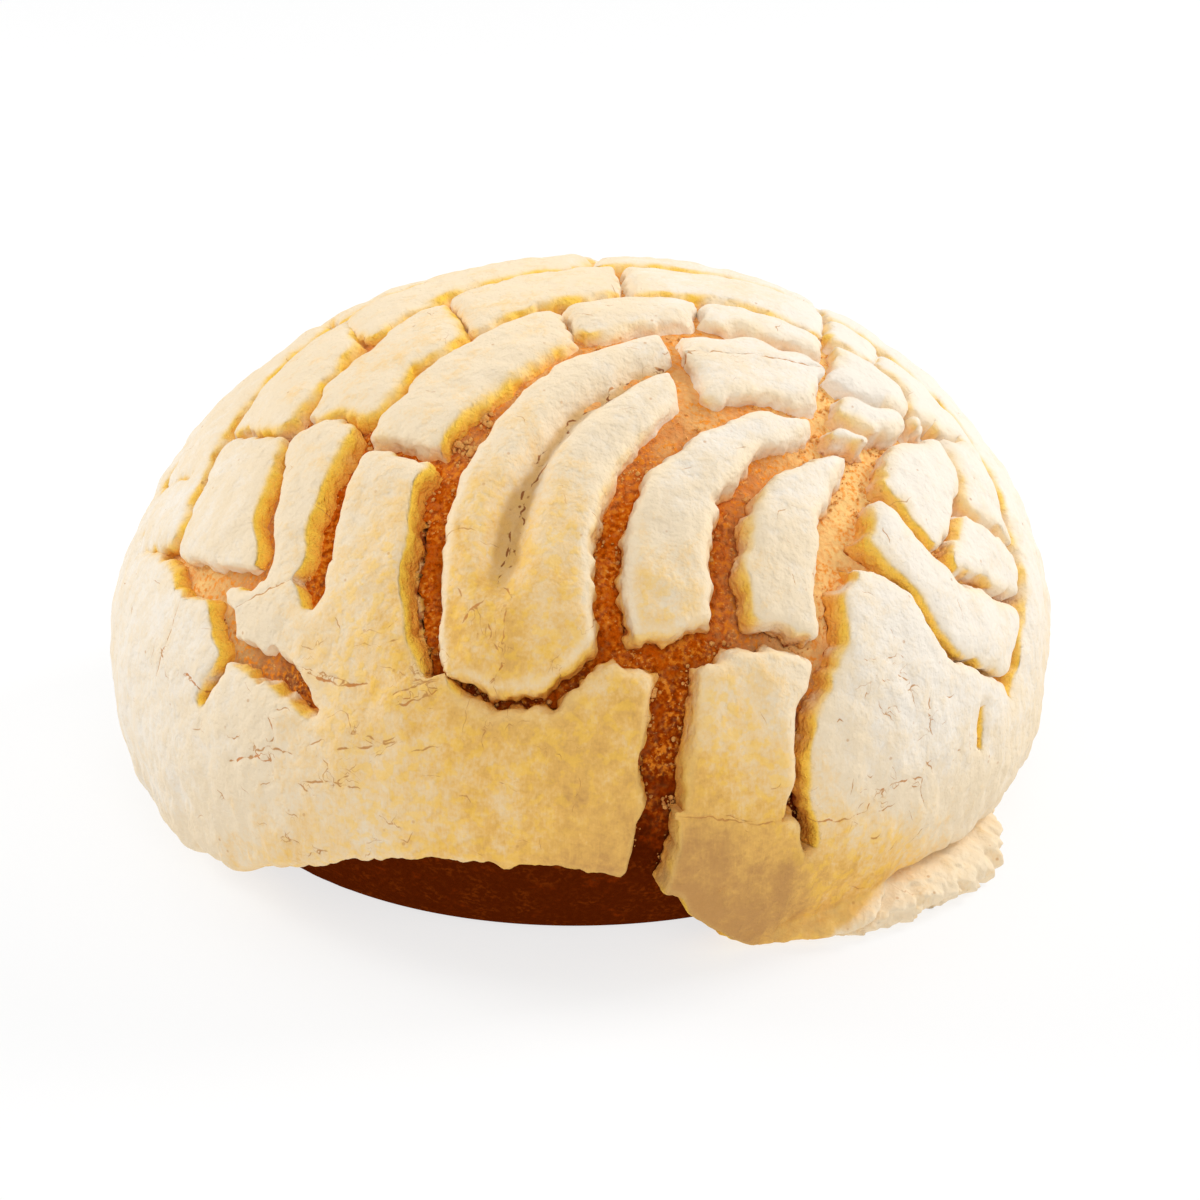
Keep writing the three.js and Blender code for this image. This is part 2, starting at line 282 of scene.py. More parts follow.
@dataclass(frozen=True)
class Valley:
    """The valley that runs up the double rib: an arc on the sheet."""

    u: float = 34.5
    v: float = -56.4
    radius: float = 45.9
    cracks_from: float = 116.0
    cracks_to: float = 178.0
    crack_step: float = 2.6
    crack_width: float = 0.2

    def side(self, flat: np.ndarray) -> np.ndarray:
        """How far outside the arc each point lies, below 0 inside it."""
        return np.hypot(flat[:, 0] - self.u, flat[:, 1] - self.v) - self.radius

    def beside(self, flat: np.ndarray) -> np.ndarray:
        """Whether each point lies by the stretch of the arc that the double rib covers."""
        return (flat[:, 0] < self.u + 4.0) & (flat[:, 1] > self.v - 6.0)


class Run(Enum):
    """Which way hair cracks run over the bun."""

    ROUND = "round"
    DOWN = "down"
    EITHER = "either"


@dataclass(frozen=True)
class Craze:
    """A patch of hair cracks: its middle on the sheet, how far it spreads and what its cracks are like."""

    u: float
    v: float
    spread: float
    count: int
    length: float
    width: float
    run: Run


@dataclass
class HairCracks:
    """The cracks that only mark the paste, as jagged lines on the sheet."""

    crazes: tuple[Craze, ...] = (
        Craze(-38.0, -67.0, 11.0, 44, 4.0, 0.15, Run.ROUND),
        Craze(-56.0, -55.0, 7.0, 12, 3.0, 0.13, Run.ROUND),
        Craze(-12.0, -75.0, 11.0, 20, 2.2, 0.1, Run.EITHER),
        Craze(-12.0, -60.0, 5.5, 14, 3.6, 0.1, Run.DOWN),
        Craze(44.0, -56.0, 8.0, 40, 2.6, 0.13, Run.EITHER),
        Craze(54.0, -64.0, 6.0, 14, 3.0, 0.16, Run.ROUND),
        Craze(4.0, -34.0, 9.0, 8, 2.2, 0.08, Run.ROUND),
        Craze(-60.0, -12.0, 12.0, 14, 2.4, 0.09, Run.EITHER),
        Craze(24.0, -84.0, 9.0, 8, 1.6, 0.09, Run.EITHER),
        Craze(0.0, 8.0, 34.0, 60, 2.4, 0.08, Run.ROUND),
        Craze(0.0, 76.0, 22.0, 44, 4.0, 0.12, Run.ROUND),
        Craze(68.0, 20.0, 16.0, 30, 3.2, 0.11, Run.ROUND),
        Craze(-66.0, 28.0, 16.0, 30, 3.2, 0.11, Run.ROUND),
    )
    torn: tuple[tuple[float, tuple[tuple[float, float], ...]], ...] = (
        (0.2, ((39.4, -75.7), (45.9, -72.7), (48.8, -70.4), (49.1, -68.3), (51.7, -65.0), (57.5, -61.2))),
        (0.18, ((57.5, -61.2), (58.6, -62.6), (61.2, -63.4))),
        (0.26, ((-58.2, -58.2), (-54.0, -60.0), (-49.6, -62.9))),
        (0.16, ((-54.0, -60.0), (-49.6, -60.9), (-45.3, -64.0))),
        (0.24, ((-40.1, -55.6), (-35.5, -59.2), (-30.8, -60.5))),
        (0.2, ((-27.0, -64.4), (-23.1, -64.4), (-20.1, -63.9))),
        (0.2, ((-47.9, -57.6), (-47.6, -60.4), (-49.5, -61.6), (-50.3, -64.4))),
        (0.18, ((-37.4, -66.6), (-35.0, -67.2), (-31.1, -68.2), (-29.2, -68.0))),
        (0.16, ((-45.2, -67.7), (-39.9, -69.8), (-35.0, -72.5))),
        (0.14, ((-25.6, -70.3), (-20.9, -70.7))),
        (0.14, ((-12.7, -76.2), (-9.9, -77.7))),
        (0.16, ((-65.8, -33.9), (-65.9, -37.3), (-66.8, -40.4))),
        (0.3, ((-62.4, -41.4), (-61.4, -43.0), (-60.4, -45.2), (-59.6, -47.4))),
        (0.2, ((-13.2, -53.4), (-13.6, -54.7), (-15.6, -55.6), (-16.5, -56.8))),
        (0.16, ((-17.0, -52.2), (-16.4, -53.6))),
        (0.18, ((-13.0, -57.4), (-12.5, -58.6), (-13.1, -59.4))),
        (0.18, ((-10.5, -55.4), (-10.8, -58.1), (-11.2, -60.5))),
        (0.16, ((-12.4, -59.8), (-11.6, -61.1))),
        (0.2, ((-11.5, -62.2), (-12.2, -63.4), (-13.4, -64.4))),
    )
    valley: Valley = Valley()
    step: float = 0.6
    reach: float = 1.2
    jag: float = 0.16
    fork_from: float = 2.8
    fork_share: float = 0.35
    seed: int = 31
    lines: list[tuple[np.ndarray, float]] = field(default_factory=list)

    def build(self) -> None:
        """Draws every line."""
        rng = np.random.default_rng(self.seed)
        for craze in self.crazes:
            for _ in range(craze.count):
                spot = np.array((craze.u, craze.v)) + rng.normal(size=2) * craze.spread
                turn = self._heading(craze.run, spot, rng)
                length = craze.length * rng.uniform(0.45, 1.4)
                self._walk(spot, turn, length, craze.width * rng.uniform(0.3, 1.0), rng)
        for width, line in self.torn:
            for start, end in zip(line, line[1:]):
                self.tear(np.array(start), np.array(end), width)
        arc = self.valley
        for turn in np.radians(np.arange(arc.cracks_from, arc.cracks_to, arc.crack_step)):
            out = arc.radius + rng.choice((-0.5, 0.1)) + rng.normal() * 0.25
            spot = np.array((arc.u, arc.v)) + out * np.array((math.cos(turn), math.sin(turn)))
            heading = turn + 0.5 * math.pi + rng.normal() * 0.12
            self._walk(spot, heading, rng.uniform(1.2, 3.0), arc.crack_width, rng)

    def tear(self, start: np.ndarray, end: np.ndarray, width: float) -> None:
        """Adds a jagged crack from one spot to another.

        Args:
            start: where it starts, as u and v.
            end: where it ends.
            width: half of its width in mm.
        """
        rng = np.random.default_rng(self.seed + len(self.lines))
        steps = max(int(np.hypot(*(end - start)) / self.step), 2)
        t = np.linspace(0.0, 1.0, steps + 1)[:, None]
        jag = rng.normal(size=(steps + 1, 2)) * self.jag * np.sin(math.pi * t)
        self.lines.append((start + (end - start) * t + jag, width))

    def _heading(self, run: Run, spot: np.ndarray, rng: np.random.Generator) -> float:
        """The way that a crack sets off.

        Args:
            run: which way the cracks of its patch run.
            spot: where it starts.
            rng: what it is drawn by.

        Returns:
            An angle on the sheet.
        """
        down = math.atan2(spot[1], spot[0])
        if run is Run.EITHER:
            return down + rng.integers(2) * 0.5 * math.pi + rng.normal() * 0.4
        return down + (0.5 * math.pi if run is Run.ROUND else 0.0) + rng.normal() * 0.35

    def _walk(
        self, spot: np.ndarray, turn: float, length: float, width: float, rng: np.random.Generator
    ) -> None:
        """Adds one crack, which may fork.

        Args:
            spot: where it starts.
            turn: the way that it sets off.
            length: its length in mm.
            width: half of its width in mm, at its widest.
            rng: what it wanders by.
        """
        steps = max(int(length / self.step), 2)
        turns = turn + rng.normal(size=steps) * 0.45
        moves = np.c_[np.cos(turns), np.sin(turns)] * (length / steps)
        line = np.vstack([spot, spot + np.cumsum(moves, axis=0)])
        self.lines.append((line, width))
        if length > self.fork_from and rng.random() < self.fork_share:
            side = turn + rng.choice((-1.0, 1.0)) * rng.uniform(0.7, 1.4)
            self._walk(line[steps // 2], side, length * 0.45, width * 0.7, rng)

    def read(self, flat: np.ndarray) -> tuple[np.ndarray, np.ndarray]:
        """Where points lie by the cracks.

        Args:
            flat: rows of u, v.

        Returns:
            Each point's distance from the nearest crack, with a sign for the side that it lies on, and
            half of the width of the crack there, below 0 where there is none.
        """
        split = np.full(len(flat), self.reach)
        gape = np.full(len(flat), -1.0)
        low, high = flat.min(axis=0) - self.reach, flat.max(axis=0) + self.reach
        for line, width in self.lines:
            if np.any(line.max(axis=0) < low) or np.any(line.min(axis=0) > high):
                continue
            inside = (flat > line.min(axis=0) - self.reach) & (flat < line.max(axis=0) + self.reach)
            near = np.flatnonzero(inside.all(axis=1))
            if len(near):
                side, half = self._beside(flat[near], line, width)
                nearer = half - np.abs(side) > gape[near] - np.abs(split[near])
                split[near[nearer]], gape[near[nearer]] = side[nearer], half[nearer]
        return split, gape

    def _beside(
        self, flat: np.ndarray, line: np.ndarray, width: float
    ) -> tuple[np.ndarray, np.ndarray]:
        """Where points lie by one crack.

        Args:
            flat: rows of u, v.
            line: the spots along the crack.
            width: half of its width in mm, at its widest.

        Returns:
            The signed distance of each point from the crack, and half of its width beside the point.
        """
        away = np.full(len(flat), 9.0)
        side, half = away.copy(), away.copy()
        last = len(line) - 2
        for i, (start, end) in enumerate(zip(line, line[1:])):
            run = end - start
            along = (flat - start) @ run / (run @ run)
            t = np.clip(along, 0.0, 1.0)
            off = flat - start - t[:, None] * run
            far = across(off)
            past = np.maximum(-along if i == 0 else 0.0, along - 1.0 if i == last else 0.0)
            here = width * np.sqrt(np.sin(math.pi * np.clip((i + t) / (last + 1), 0.0, 1.0)) + 1e-6)
            here = here - np.maximum(past, 0.0) * np.hypot(*run)
            turned = run[0] * off[:, 1] - run[1] * off[:, 0]
            nearer = far < away
            away[nearer] = far[nearer]
            side[nearer] = np.where(turned > 0.0, far, -far)[nearer]
            half[nearer] = here[nearer]
        return side, np.where(away < self.reach, half, -1.0)


class Fine:
    """A mesh of quads held in arrays while it is worked."""

    def __init__(self, points: np.ndarray, quads: np.ndarray) -> None:
        """Keeps the points and the quads.

        Args:
            points: rows of three coordinates.
            quads: rows of four corners.
        """
        self.points = points
        self.quads = quads

    @classmethod
    def remeshed(cls, points: np.ndarray, faces: list[list[int]], voxel: float) -> "Fine":
        """An even fine mesh of a closed solid.

        Args:
            points: the solid's corners.
            faces: its facets.
            voxel: the side of a quad.

        Returns:
            The fine mesh, in the same coordinates.
        """
        mesh = bpy.data.meshes.new("coarse")
        mesh.from_pydata(points.tolist(), [], faces)
        coarse = bpy.data.objects.new("coarse", mesh)
        bpy.context.scene.collection.objects.link(coarse)
        remesh = coarse.modifiers.new("remesh", "REMESH")
        remesh.mode = "VOXEL"
        remesh.voxel_size = voxel
        shaped = coarse.evaluated_get(bpy.context.evaluated_depsgraph_get()).to_mesh()
        fine_points = np.empty(len(shaped.vertices) * 3)
        shaped.vertices.foreach_get("co", fine_points)
        corners = np.empty(len(shaped.loops), dtype=np.int32)
        shaped.loops.foreach_get("vertex_index", corners)
        bpy.data.objects.remove(coarse)
        bpy.data.meshes.remove(mesh)
        return cls(fine_points.reshape(-1, 3), corners.reshape(-1, 4))

    def normals(self) -> np.ndarray:
        """Measures which way the surface faces.

        Returns:
            The outward direction at each point.
        """
        p = self.points[self.quads]
        facing = np.cross(p[:, 2] - p[:, 0], p[:, 3] - p[:, 1])
        total = np.empty_like(self.points)
        for axis in range(3):
            spread = np.repeat(facing[:, axis], 4)
            total[:, axis] = np.bincount(self.quads.ravel(), spread, len(self.points))
        return unit(total)

    def push(self, form: np.ndarray, by: np.ndarray) -> None:
        """Moves each point along the sheet, the way that the surface faces, by so many mm."""
        self.points[:, :2] += form[:, :2] * by[:, None]

    def smooth(self, times: int, weight: np.ndarray) -> None:
        """Draws each point towards the middle of its neighbours.

        Args:
            times: how often.
            weight: how far each point goes, 0 to 1.
        """
        start = self.quads.ravel()
        end = np.roll(self.quads, -1, axis=1).ravel()
        count = np.bincount(start, minlength=len(self.points))
        for _ in range(times):
            middle = np.empty_like(self.points)
            for axis in range(3):
                middle[:, axis] = np.bincount(start, self.points[end, axis], len(self.points))
            middle /= np.maximum(count, 1)[:, None]
            self.points += (middle - self.points) * weight[:, None]

    def to_object(self, name: str, values: dict[str, np.ndarray]) -> bpy.types.Object:
        """A Blender object of this mesh, which is in millimetres.

        Args:
            name: the object's name.
            values: a number for each point, under the names that its material reads.

        Returns:
            The object, linked to the scene.
        """
        mesh = bpy.data.meshes.new(name)
        mesh.vertices.add(len(self.points))
        mesh.vertices.foreach_set("co", (self.points * MM).ravel())
        mesh.loops.add(self.quads.size)
        mesh.loops.foreach_set("vertex_index", self.quads.ravel())
        mesh.polygons.add(len(self.quads))
        mesh.polygons.foreach_set("loop_start", np.arange(0, self.quads.size, self.quads.shape[1]))
        mesh.update(calc_edges=True)
        mesh.polygons.foreach_set("use_smooth", np.ones(len(self.quads), dtype=bool))
        for key, numbers in values.items():
            layer = mesh.attributes.new(key, "FLOAT", "POINT")
            layer.data.foreach_set("value", numbers.astype(np.float32))
        made = bpy.data.objects.new(name, mesh)
        bpy.context.scene.collection.objects.link(made)
        return made


class Wire:
    """A number that runs along a material's wires. Python's operators add Math nodes."""

    def __init__(self, graph: "Graph", socket: bpy.types.NodeSocket) -> None:
        """Wraps one output socket.

        Args:
            graph: the material that it belongs to.
            socket: the socket.
        """
        self.graph = graph
        self.socket = socket

    def _maths(self, operation: str, *values: Any) -> "Wire":
        """The result of a Math node."""
        made = self.graph.add("ShaderNodeMath", {"operation": operation}, dict(enumerate(values)))
        return Wire(self.graph, made.outputs[0])

    def __add__(self, other: Any) -> "Wire":
        """self + other."""
        return self._maths("ADD", self, other)

    def __radd__(self, other: Any) -> "Wire":
        """other + self."""
        return self._maths("ADD", other, self)

    def __sub__(self, other: Any) -> "Wire":
        """self - other."""
        return self._maths("SUBTRACT", self, other)

    def __rsub__(self, other: Any) -> "Wire":
        """other - self."""
        return self._maths("SUBTRACT", other, self)

    def __mul__(self, other: Any) -> "Wire":
        """self * other."""
        return self._maths("MULTIPLY", self, other)

    def __rmul__(self, other: Any) -> "Wire":
        """other * self."""
        return self._maths("MULTIPLY", other, self)

    def within(self, low: float, high: float) -> "Wire":
        """0 below low, 1 above high and smooth between.

        Args:
            low: where it starts, which may be the larger one.
            high: where it ends.

        Returns:
            The result, 0 to 1.
        """
        inputs = {"Value": self, "From Min": low, "From Max": high}
        made = self.graph.add("ShaderNodeMapRange", {"interpolation_type": "SMOOTHSTEP"}, inputs)
        return Wire(self.graph, made.outputs["Result"])

    def most(self, other: Any) -> "Wire":
        """The larger of the two."""
        return self._maths("MAXIMUM", self, other)


def linear(red: int, green: int, blue: int) -> Colour:
    """Turns a colour into the scene's linear one.

    Args:
        red: its red as it looks on a screen, 0 to 255.
        green: its green.
        blue: its blue.

    Returns:
        The linear colour, opaque.
    """
    scaled = (c / 255.0 for c in (red, green, blue))
    r, g, b = (c / 12.92 if c <= 0.04045 else ((c + 0.055) / 1.055) ** 2.4 for c in scaled)
    return (r, g, b, 1.0)


class Graph:
    """The nodes of one material, in millimetres of the object's own space."""

    def __init__(self, name: str) -> None:
        """Starts an empty material.

        Args:
            name: the material's name.
        """
        self.material = bpy.data.materials.new(name)
        self.material.use_nodes = True
        self.tree = self.material.node_tree
        self.tree.nodes.clear()
        place = self.add("ShaderNodeTexCoord", {}, {}).outputs["Object"]
        scaled = self.add("ShaderNodeVectorMath", {"operation": "SCALE"}, {0: place, "Scale": 1.0 / MM})
        self.place = scaled.outputs[0]

    def add(self, kind: str, settings: dict[str, Any], inputs: dict[Any, Any]) -> bpy.types.Node:
        """Adds one node.

        Args:
            kind: the node's type.
            settings: its properties, which are set first.
            inputs: a value, socket or wire for each input, by name or number.

        Returns:
            The node.
        """
        node = self.tree.nodes.new(kind)
        for key, value in settings.items():
            setattr(node, key, value)
        for key, value in inputs.items():
            socket = value.socket if isinstance(value, Wire) else value
            if isinstance(socket, bpy.types.NodeSocket):
                self.tree.links.new(socket, node.inputs[key])
            else:
                node.inputs[key].default_value = socket
        return node

    def stored(self, name: str) -> Wire:
        """A number stored on the mesh's points."""
        return Wire(self, self.add("ShaderNodeAttribute", {"attribute_name": name}, {}).outputs["Fac"])

    def moved(self, operation: str, by: tuple[float, float, float]) -> bpy.types.NodeSocket:
        """The place, with a number added to each axis or each axis scaled."""
        settings = {"operation": operation}
        return self.add("ShaderNodeVectorMath", settings, {0: self.place, 1: by}).outputs[0]

    def noise(self, size: float, detail: float = 3.0, shift: float = 0.0, place: Any = None) -> Wire:
        """Adds noise of 0 to 1.

        Args:
            size: the size of its lumps in mm, or in the units of the place that is given.
            detail: how many finer layers it has.
            shift: how far it is moved, so that it differs from another of its size.
            place: where it is read, if not at the object's own place.

        Returns:
            The noise.
        """
        if place is None:
            place = self.moved("ADD", (shift, shift, shift)) if shift else self.place
        inputs = {"Vector": place, "Scale": 1.0 / size, "Detail": detail}
        return Wire(self, self.add("ShaderNodeTexNoise", {}, inputs).outputs["Fac"])

    def cells(self, size: float) -> Wire:
        """The distance to the middle of the nearest of many cells, in units of their size."""
        inputs = {"Vector": self.place, "Scale": 1.0 / size}
        return Wire(self, self.add("ShaderNodeTexVoronoi", {"feature": "F1"}, inputs).outputs["Distance"])

    def mixed(self, share: Wire, low: Any, high: Any) -> bpy.types.NodeSocket:
        """Mixes two colours.

        Args:
            share: how much of the second shows.
            low: the first colour.
            high: the second.

        Returns:
            The mixed colour.
        """
        settings = {"data_type": "RGBA", "clamp_factor": True}
        return self.add("ShaderNodeMix", settings, {0: share, 6: low, 7: high}).outputs[2]

    def bumped(self, height: Wire, depth: float) -> bpy.types.NodeSocket:
        """A normal for a relief whose height is in units of the depth in mm."""
        inputs = {"Height": height, "Strength": 1.0, "Distance": depth * MM}
        return self.add("ShaderNodeBump", {}, inputs).outputs["Normal"]

    def matte(
        self, colour: bpy.types.NodeSocket, normal: bpy.types.NodeSocket, roughness: float, shine: float
    ) -> bpy.types.Material:
        """Finishes a material that has a colour and a relief.

        Args:
            colour: its colour.
            normal: its relief.
            roughness: how rough it is.
            shine: how strongly it reflects.

        Returns:
            The material.
        """
        settings = {"Base Color": colour, "Normal": normal}
        return self.finish(settings | {"Roughness": roughness, "Specular IOR Level": shine})

    def finish(self, settings: dict[str, Any]) -> bpy.types.Material:
        """Adds the surface shader and the output.

        Args:
            settings: a value or link for each of the shader's sockets.

        Returns:
            The material.
        """
        surface = self.add("ShaderNodeBsdfPrincipled", {}, settings)
        self.add("ShaderNodeOutputMaterial", {}, {"Surface": surface.outputs[0]})
        return self.material


@dataclass(frozen=True)
class PasteFinish:
    """Baked sugar paste: floury and pale on top, golden where it browned, crumbly at its edges, with painted
    highlights, sheen and shade.
    """

    # the palest, floury paste, which also stands in for a painted sheen from the side lamps
    flour_and_sheen: Colour = linear(244, 234, 219)
    pale: Colour = linear(242, 222, 190)
    cream: Colour = linear(244, 211, 158)
    gold: Colour = linear(239, 188, 100)
    # dark tan: well-browned paste, and the painted shade of the low front that faces down
    tan_and_shade: Colour = linear(196, 146, 86)
    # wall: golden paste of the walls, made bright to stand in for light bouncing in the gaps, a painted
    # bounce light
    wall: Colour = linear(255, 205, 76)
    foot: Colour = linear(246, 176, 72)
    # the painted highlight along the plates' shoulders
    rim: Colour = linear(250, 229, 194)
    floor: Colour = linear(206, 160, 92)
    # glow: the painted highlight's colour on the shoulders of browned paste
    glow: Colour = linear(242, 205, 124)
    toast: Colour = linear(176, 92, 34)
    line: Colour = linear(196, 138, 76)
    deep: Colour = linear(202, 124, 54)
    burnt: Colour = linear(124, 58, 14)
    roughness: float = 0.85
    fleck_size: float = 1.1
    blot_size: float = 1.3
    fine_size: float = 0.5
    crumb_size: float = 0.42
    smear: tuple[float, float, float] = (4.5, 4.5, 0.7)
    relief: float = 1.0
    shine: float = 0.12

    def material(self) -> bpy.types.Material:
        """Builds the material.

        Returns:
            The material, which reads what each plate stores.
        """
        g = Graph("sugar_paste")
        lay, gilt, mottle, fold = (g.stored(name) for name in ("lay", "gilt", "mottle", "fold"))
        fleck = g.noise(self.fleck_size)
        blot = g.noise(self.blot_size, 2.0, 31.0)
        fine = g.noise(self.fine_size, 1.0, 47.0)
        colour = self._top(g, mottle, fleck, blot, fine)
        wall = g.mixed((lay + (fleck - 0.5) * 0.5).within(0.25, 0.8), self.foot, self.wall)
        # golden walls: partly browning, partly painted shade on walls that face away from the lamps
        colour = g.mixed((gilt + (fleck - 0.5) * 0.25).within(0.0, 1.0), colour, wall)
        colour = g.mixed(fold * 0.8, colour, self.floor)
        toasted = (lay + (fleck - 0.5) * 0.7 + (mottle - 0.5) * 0.4).within(0.08, -0.08)
        colour = g.mixed(toasted, colour, self.toast)
        crack, deep = self._cracks(g, fold)
        colour = g.mixed(crack * 0.85, colour, deep)
        crumb = g.noise(self.crumb_size, 2.0, 61.0)
        relief = fleck * (0.3 + gilt * 0.35) + blot * 0.24 + fine * 0.1 + crumb * gilt * 0.35
        return g.matte(colour, g.bumped(relief, self.relief), self.roughness, self.shine)

    def _top(self, g: Graph, mottle: Wire, fleck: Wire, blot: Wire, fine: Wire) -> bpy.types.NodeSocket:
        """Colours the top of the plates, with a painted highlight along their shoulders.

        Args:
            g: the material's nodes.
            mottle: the blotches that the plates store.
            fleck: noise of crumb size.
            blot: noise for the golden patches.
            fine: the finest noise.

        Returns:
            The colour, from floury to well browned.
        """
        sun, rim = g.stored("sun"), g.stored("rim")
        smear = g.noise(1.0, 2.0, place=g.moved("MULTIPLY", self.smear))
        tone = sun + (mottle - 0.5) * 0.6 + (fleck - 0.5) * 0.5 + (smear - 0.5) * 0.3 + (fine - 0.5) * 0.4
        colour = g.mixed(tone.within(-0.9, -0.1), self.flour_and_sheen, self.pale)
        colour = g.mixed(tone.within(-0.05, 0.4), colour, self.cream)
        colour = g.mixed(tone.within(0.3, 0.85), colour, self.gold)
        colour = g.mixed(tone.within(0.6, 1.5), colour, self.tan_and_shade)
        golden = blot.within(0.47, 0.62) * sun.within(0.05, 0.4) * sun.within(1.1, 0.7) * (1 - rim)
        colour = g.mixed(golden * 0.42, colour, self.wall)
        # painted highlight along the shoulders: pale, and golden on browned paste
        edge = g.mixed(sun.within(0.35, 0.9), self.rim, self.glow)
        return g.mixed(rim * (0.3 + mottle * 0.5), colour, edge)

    def _cracks(self, g: Graph, fold: Wire) -> tuple[Wire, bpy.types.NodeSocket]:
        """Draws the hair cracks and pinholes.

        Args:
            g: the material's nodes.
            fold: 1 along the floor of the valley.

        Returns:
            Where they are, and what colour they show.
        """
        split, gape = g.stored("split"), g.stored("gape")
        ragged = split + (g.noise(0.8, 2.0, 13.0) - 0.5) * 0.26
        off = ragged.most(0 - ragged)
        broken = g.noise(1.3, 2.0, 23.0).within(0.3, 0.62) * 1.1 - 0.1
        crack = (gape * broken - off).within(-0.05, 0.07)
        pit = g.cells(2.4).within(0.12, 0.05) * g.noise(7.0, 1.0, 5.0).within(0.5, 0.6)
        colour = g.mixed(gape.within(0.13, 0.24), self.line, self.deep)
        colour = g.mixed(fold.within(0.1, 0.5), colour, self.burnt)
        hole = g.cells(1.1).within(0.24, 0.1) * g.noise(2.5, 1.0).within(0.45, 0.55)
        return crack.most(pit * 0.6).most(hole * fold.within(0.3, 0.8)), colour


@dataclass(frozen=True)
class CrustFinish:
    """The bread's own crust: sugary orange in the gaps, dark brown down at the base."""

    honey: Colour = linear(253, 210, 138)
    orange: Colour = linear(198, 88, 4)
    brown: Colour = linear(140, 50, 2)
    dark: Colour = linear(84, 27, 2)
    grain: Colour = linear(238, 144, 42)
    # the painted glint of sugar crystals
    painted_glint: Colour = linear(255, 198, 112)
    ember: Colour = linear(170, 78, 16)
    roughness: float = 0.5
    relief: float = 1.0
    shine: float = 0.0

    def material(self) -> bpy.types.Material:
        """Builds the material.

        Returns:
            The material, which reads what the bread stores.
        """
        g = Graph("bread_crust")
        depth, fair, sugar = g.stored("depth"), g.stored("fair"), g.stored("sugar")
        coarse, patch = g.noise(0.9), g.noise(3.2, 2.0, 3.0)
        shade = depth + (coarse - 0.5) * 0.6 + (patch - 0.5) * 0.7
        colour = g.mixed(shade.within(0.1, 0.55), self.orange, self.brown)
        colour = g.mixed(fair + (coarse - 0.5) * 0.5, colour, self.honey)
        colour = g.mixed(shade.within(0.55, 0.95), colour, self.dark)
        grain, glint = g.noise(0.6, 2.0, 7.0), g.noise(0.42, 1.0, 19.0)
        lit = g.mixed(depth.within(0.5, 0.85), self.grain, self.ember)
        share = (sugar * 0.7 + 0.2) * (1 - depth.within(0.6, 1.0) * 0.75)
        colour = g.mixed(grain.within(0.45, 0.68) * share, colour, lit)
        colour = g.mixed(grain.within(0.46, 0.32) * fair.within(0.5, 0.0) * 0.45, colour, self.dark)
        # painted glints on the sugary crust
        glint_share = glint.within(0.62, 0.74) * sugar * depth.within(0.8, 0.4)
        colour = g.mixed(glint_share * 0.55, colour, self.painted_glint)
        normal = g.bumped(coarse * 0.4 + grain * 0.25, self.relief)
        return g.matte(colour, normal, self.roughness, self.shine)


@dataclass(frozen=True)
class CrumbFinish:
    """Crumbs of paste, some of them toasted."""

    pale: Colour = linear(238, 176, 98)
    brown: Colour = linear(166, 80, 20)
    roughness: float = 0.8
    relief: float = 0.4
    shine: float = 0.15

    def material(self) -> bpy.types.Material:
        """Builds the material.

        Returns:
            The material, which reads how toasted each crumb is.
        """
        g = Graph("paste_crumb")
        tint = g.stored("tint")
        fleck = g.noise(0.4, 2.0)
        colour = g.mixed(tint + (fleck - 0.5) * 0.4, self.pale, self.brown)
        return g.matte(colour, g.bumped(fleck, self.relief), self.roughness, self.shine)


@dataclass(frozen=True)
class Seam:
    """A fine crack: an open gap in a packed plate, which is closed here to a hair crack."""

    plate: str
    line: tuple[tuple[float, float], ...]


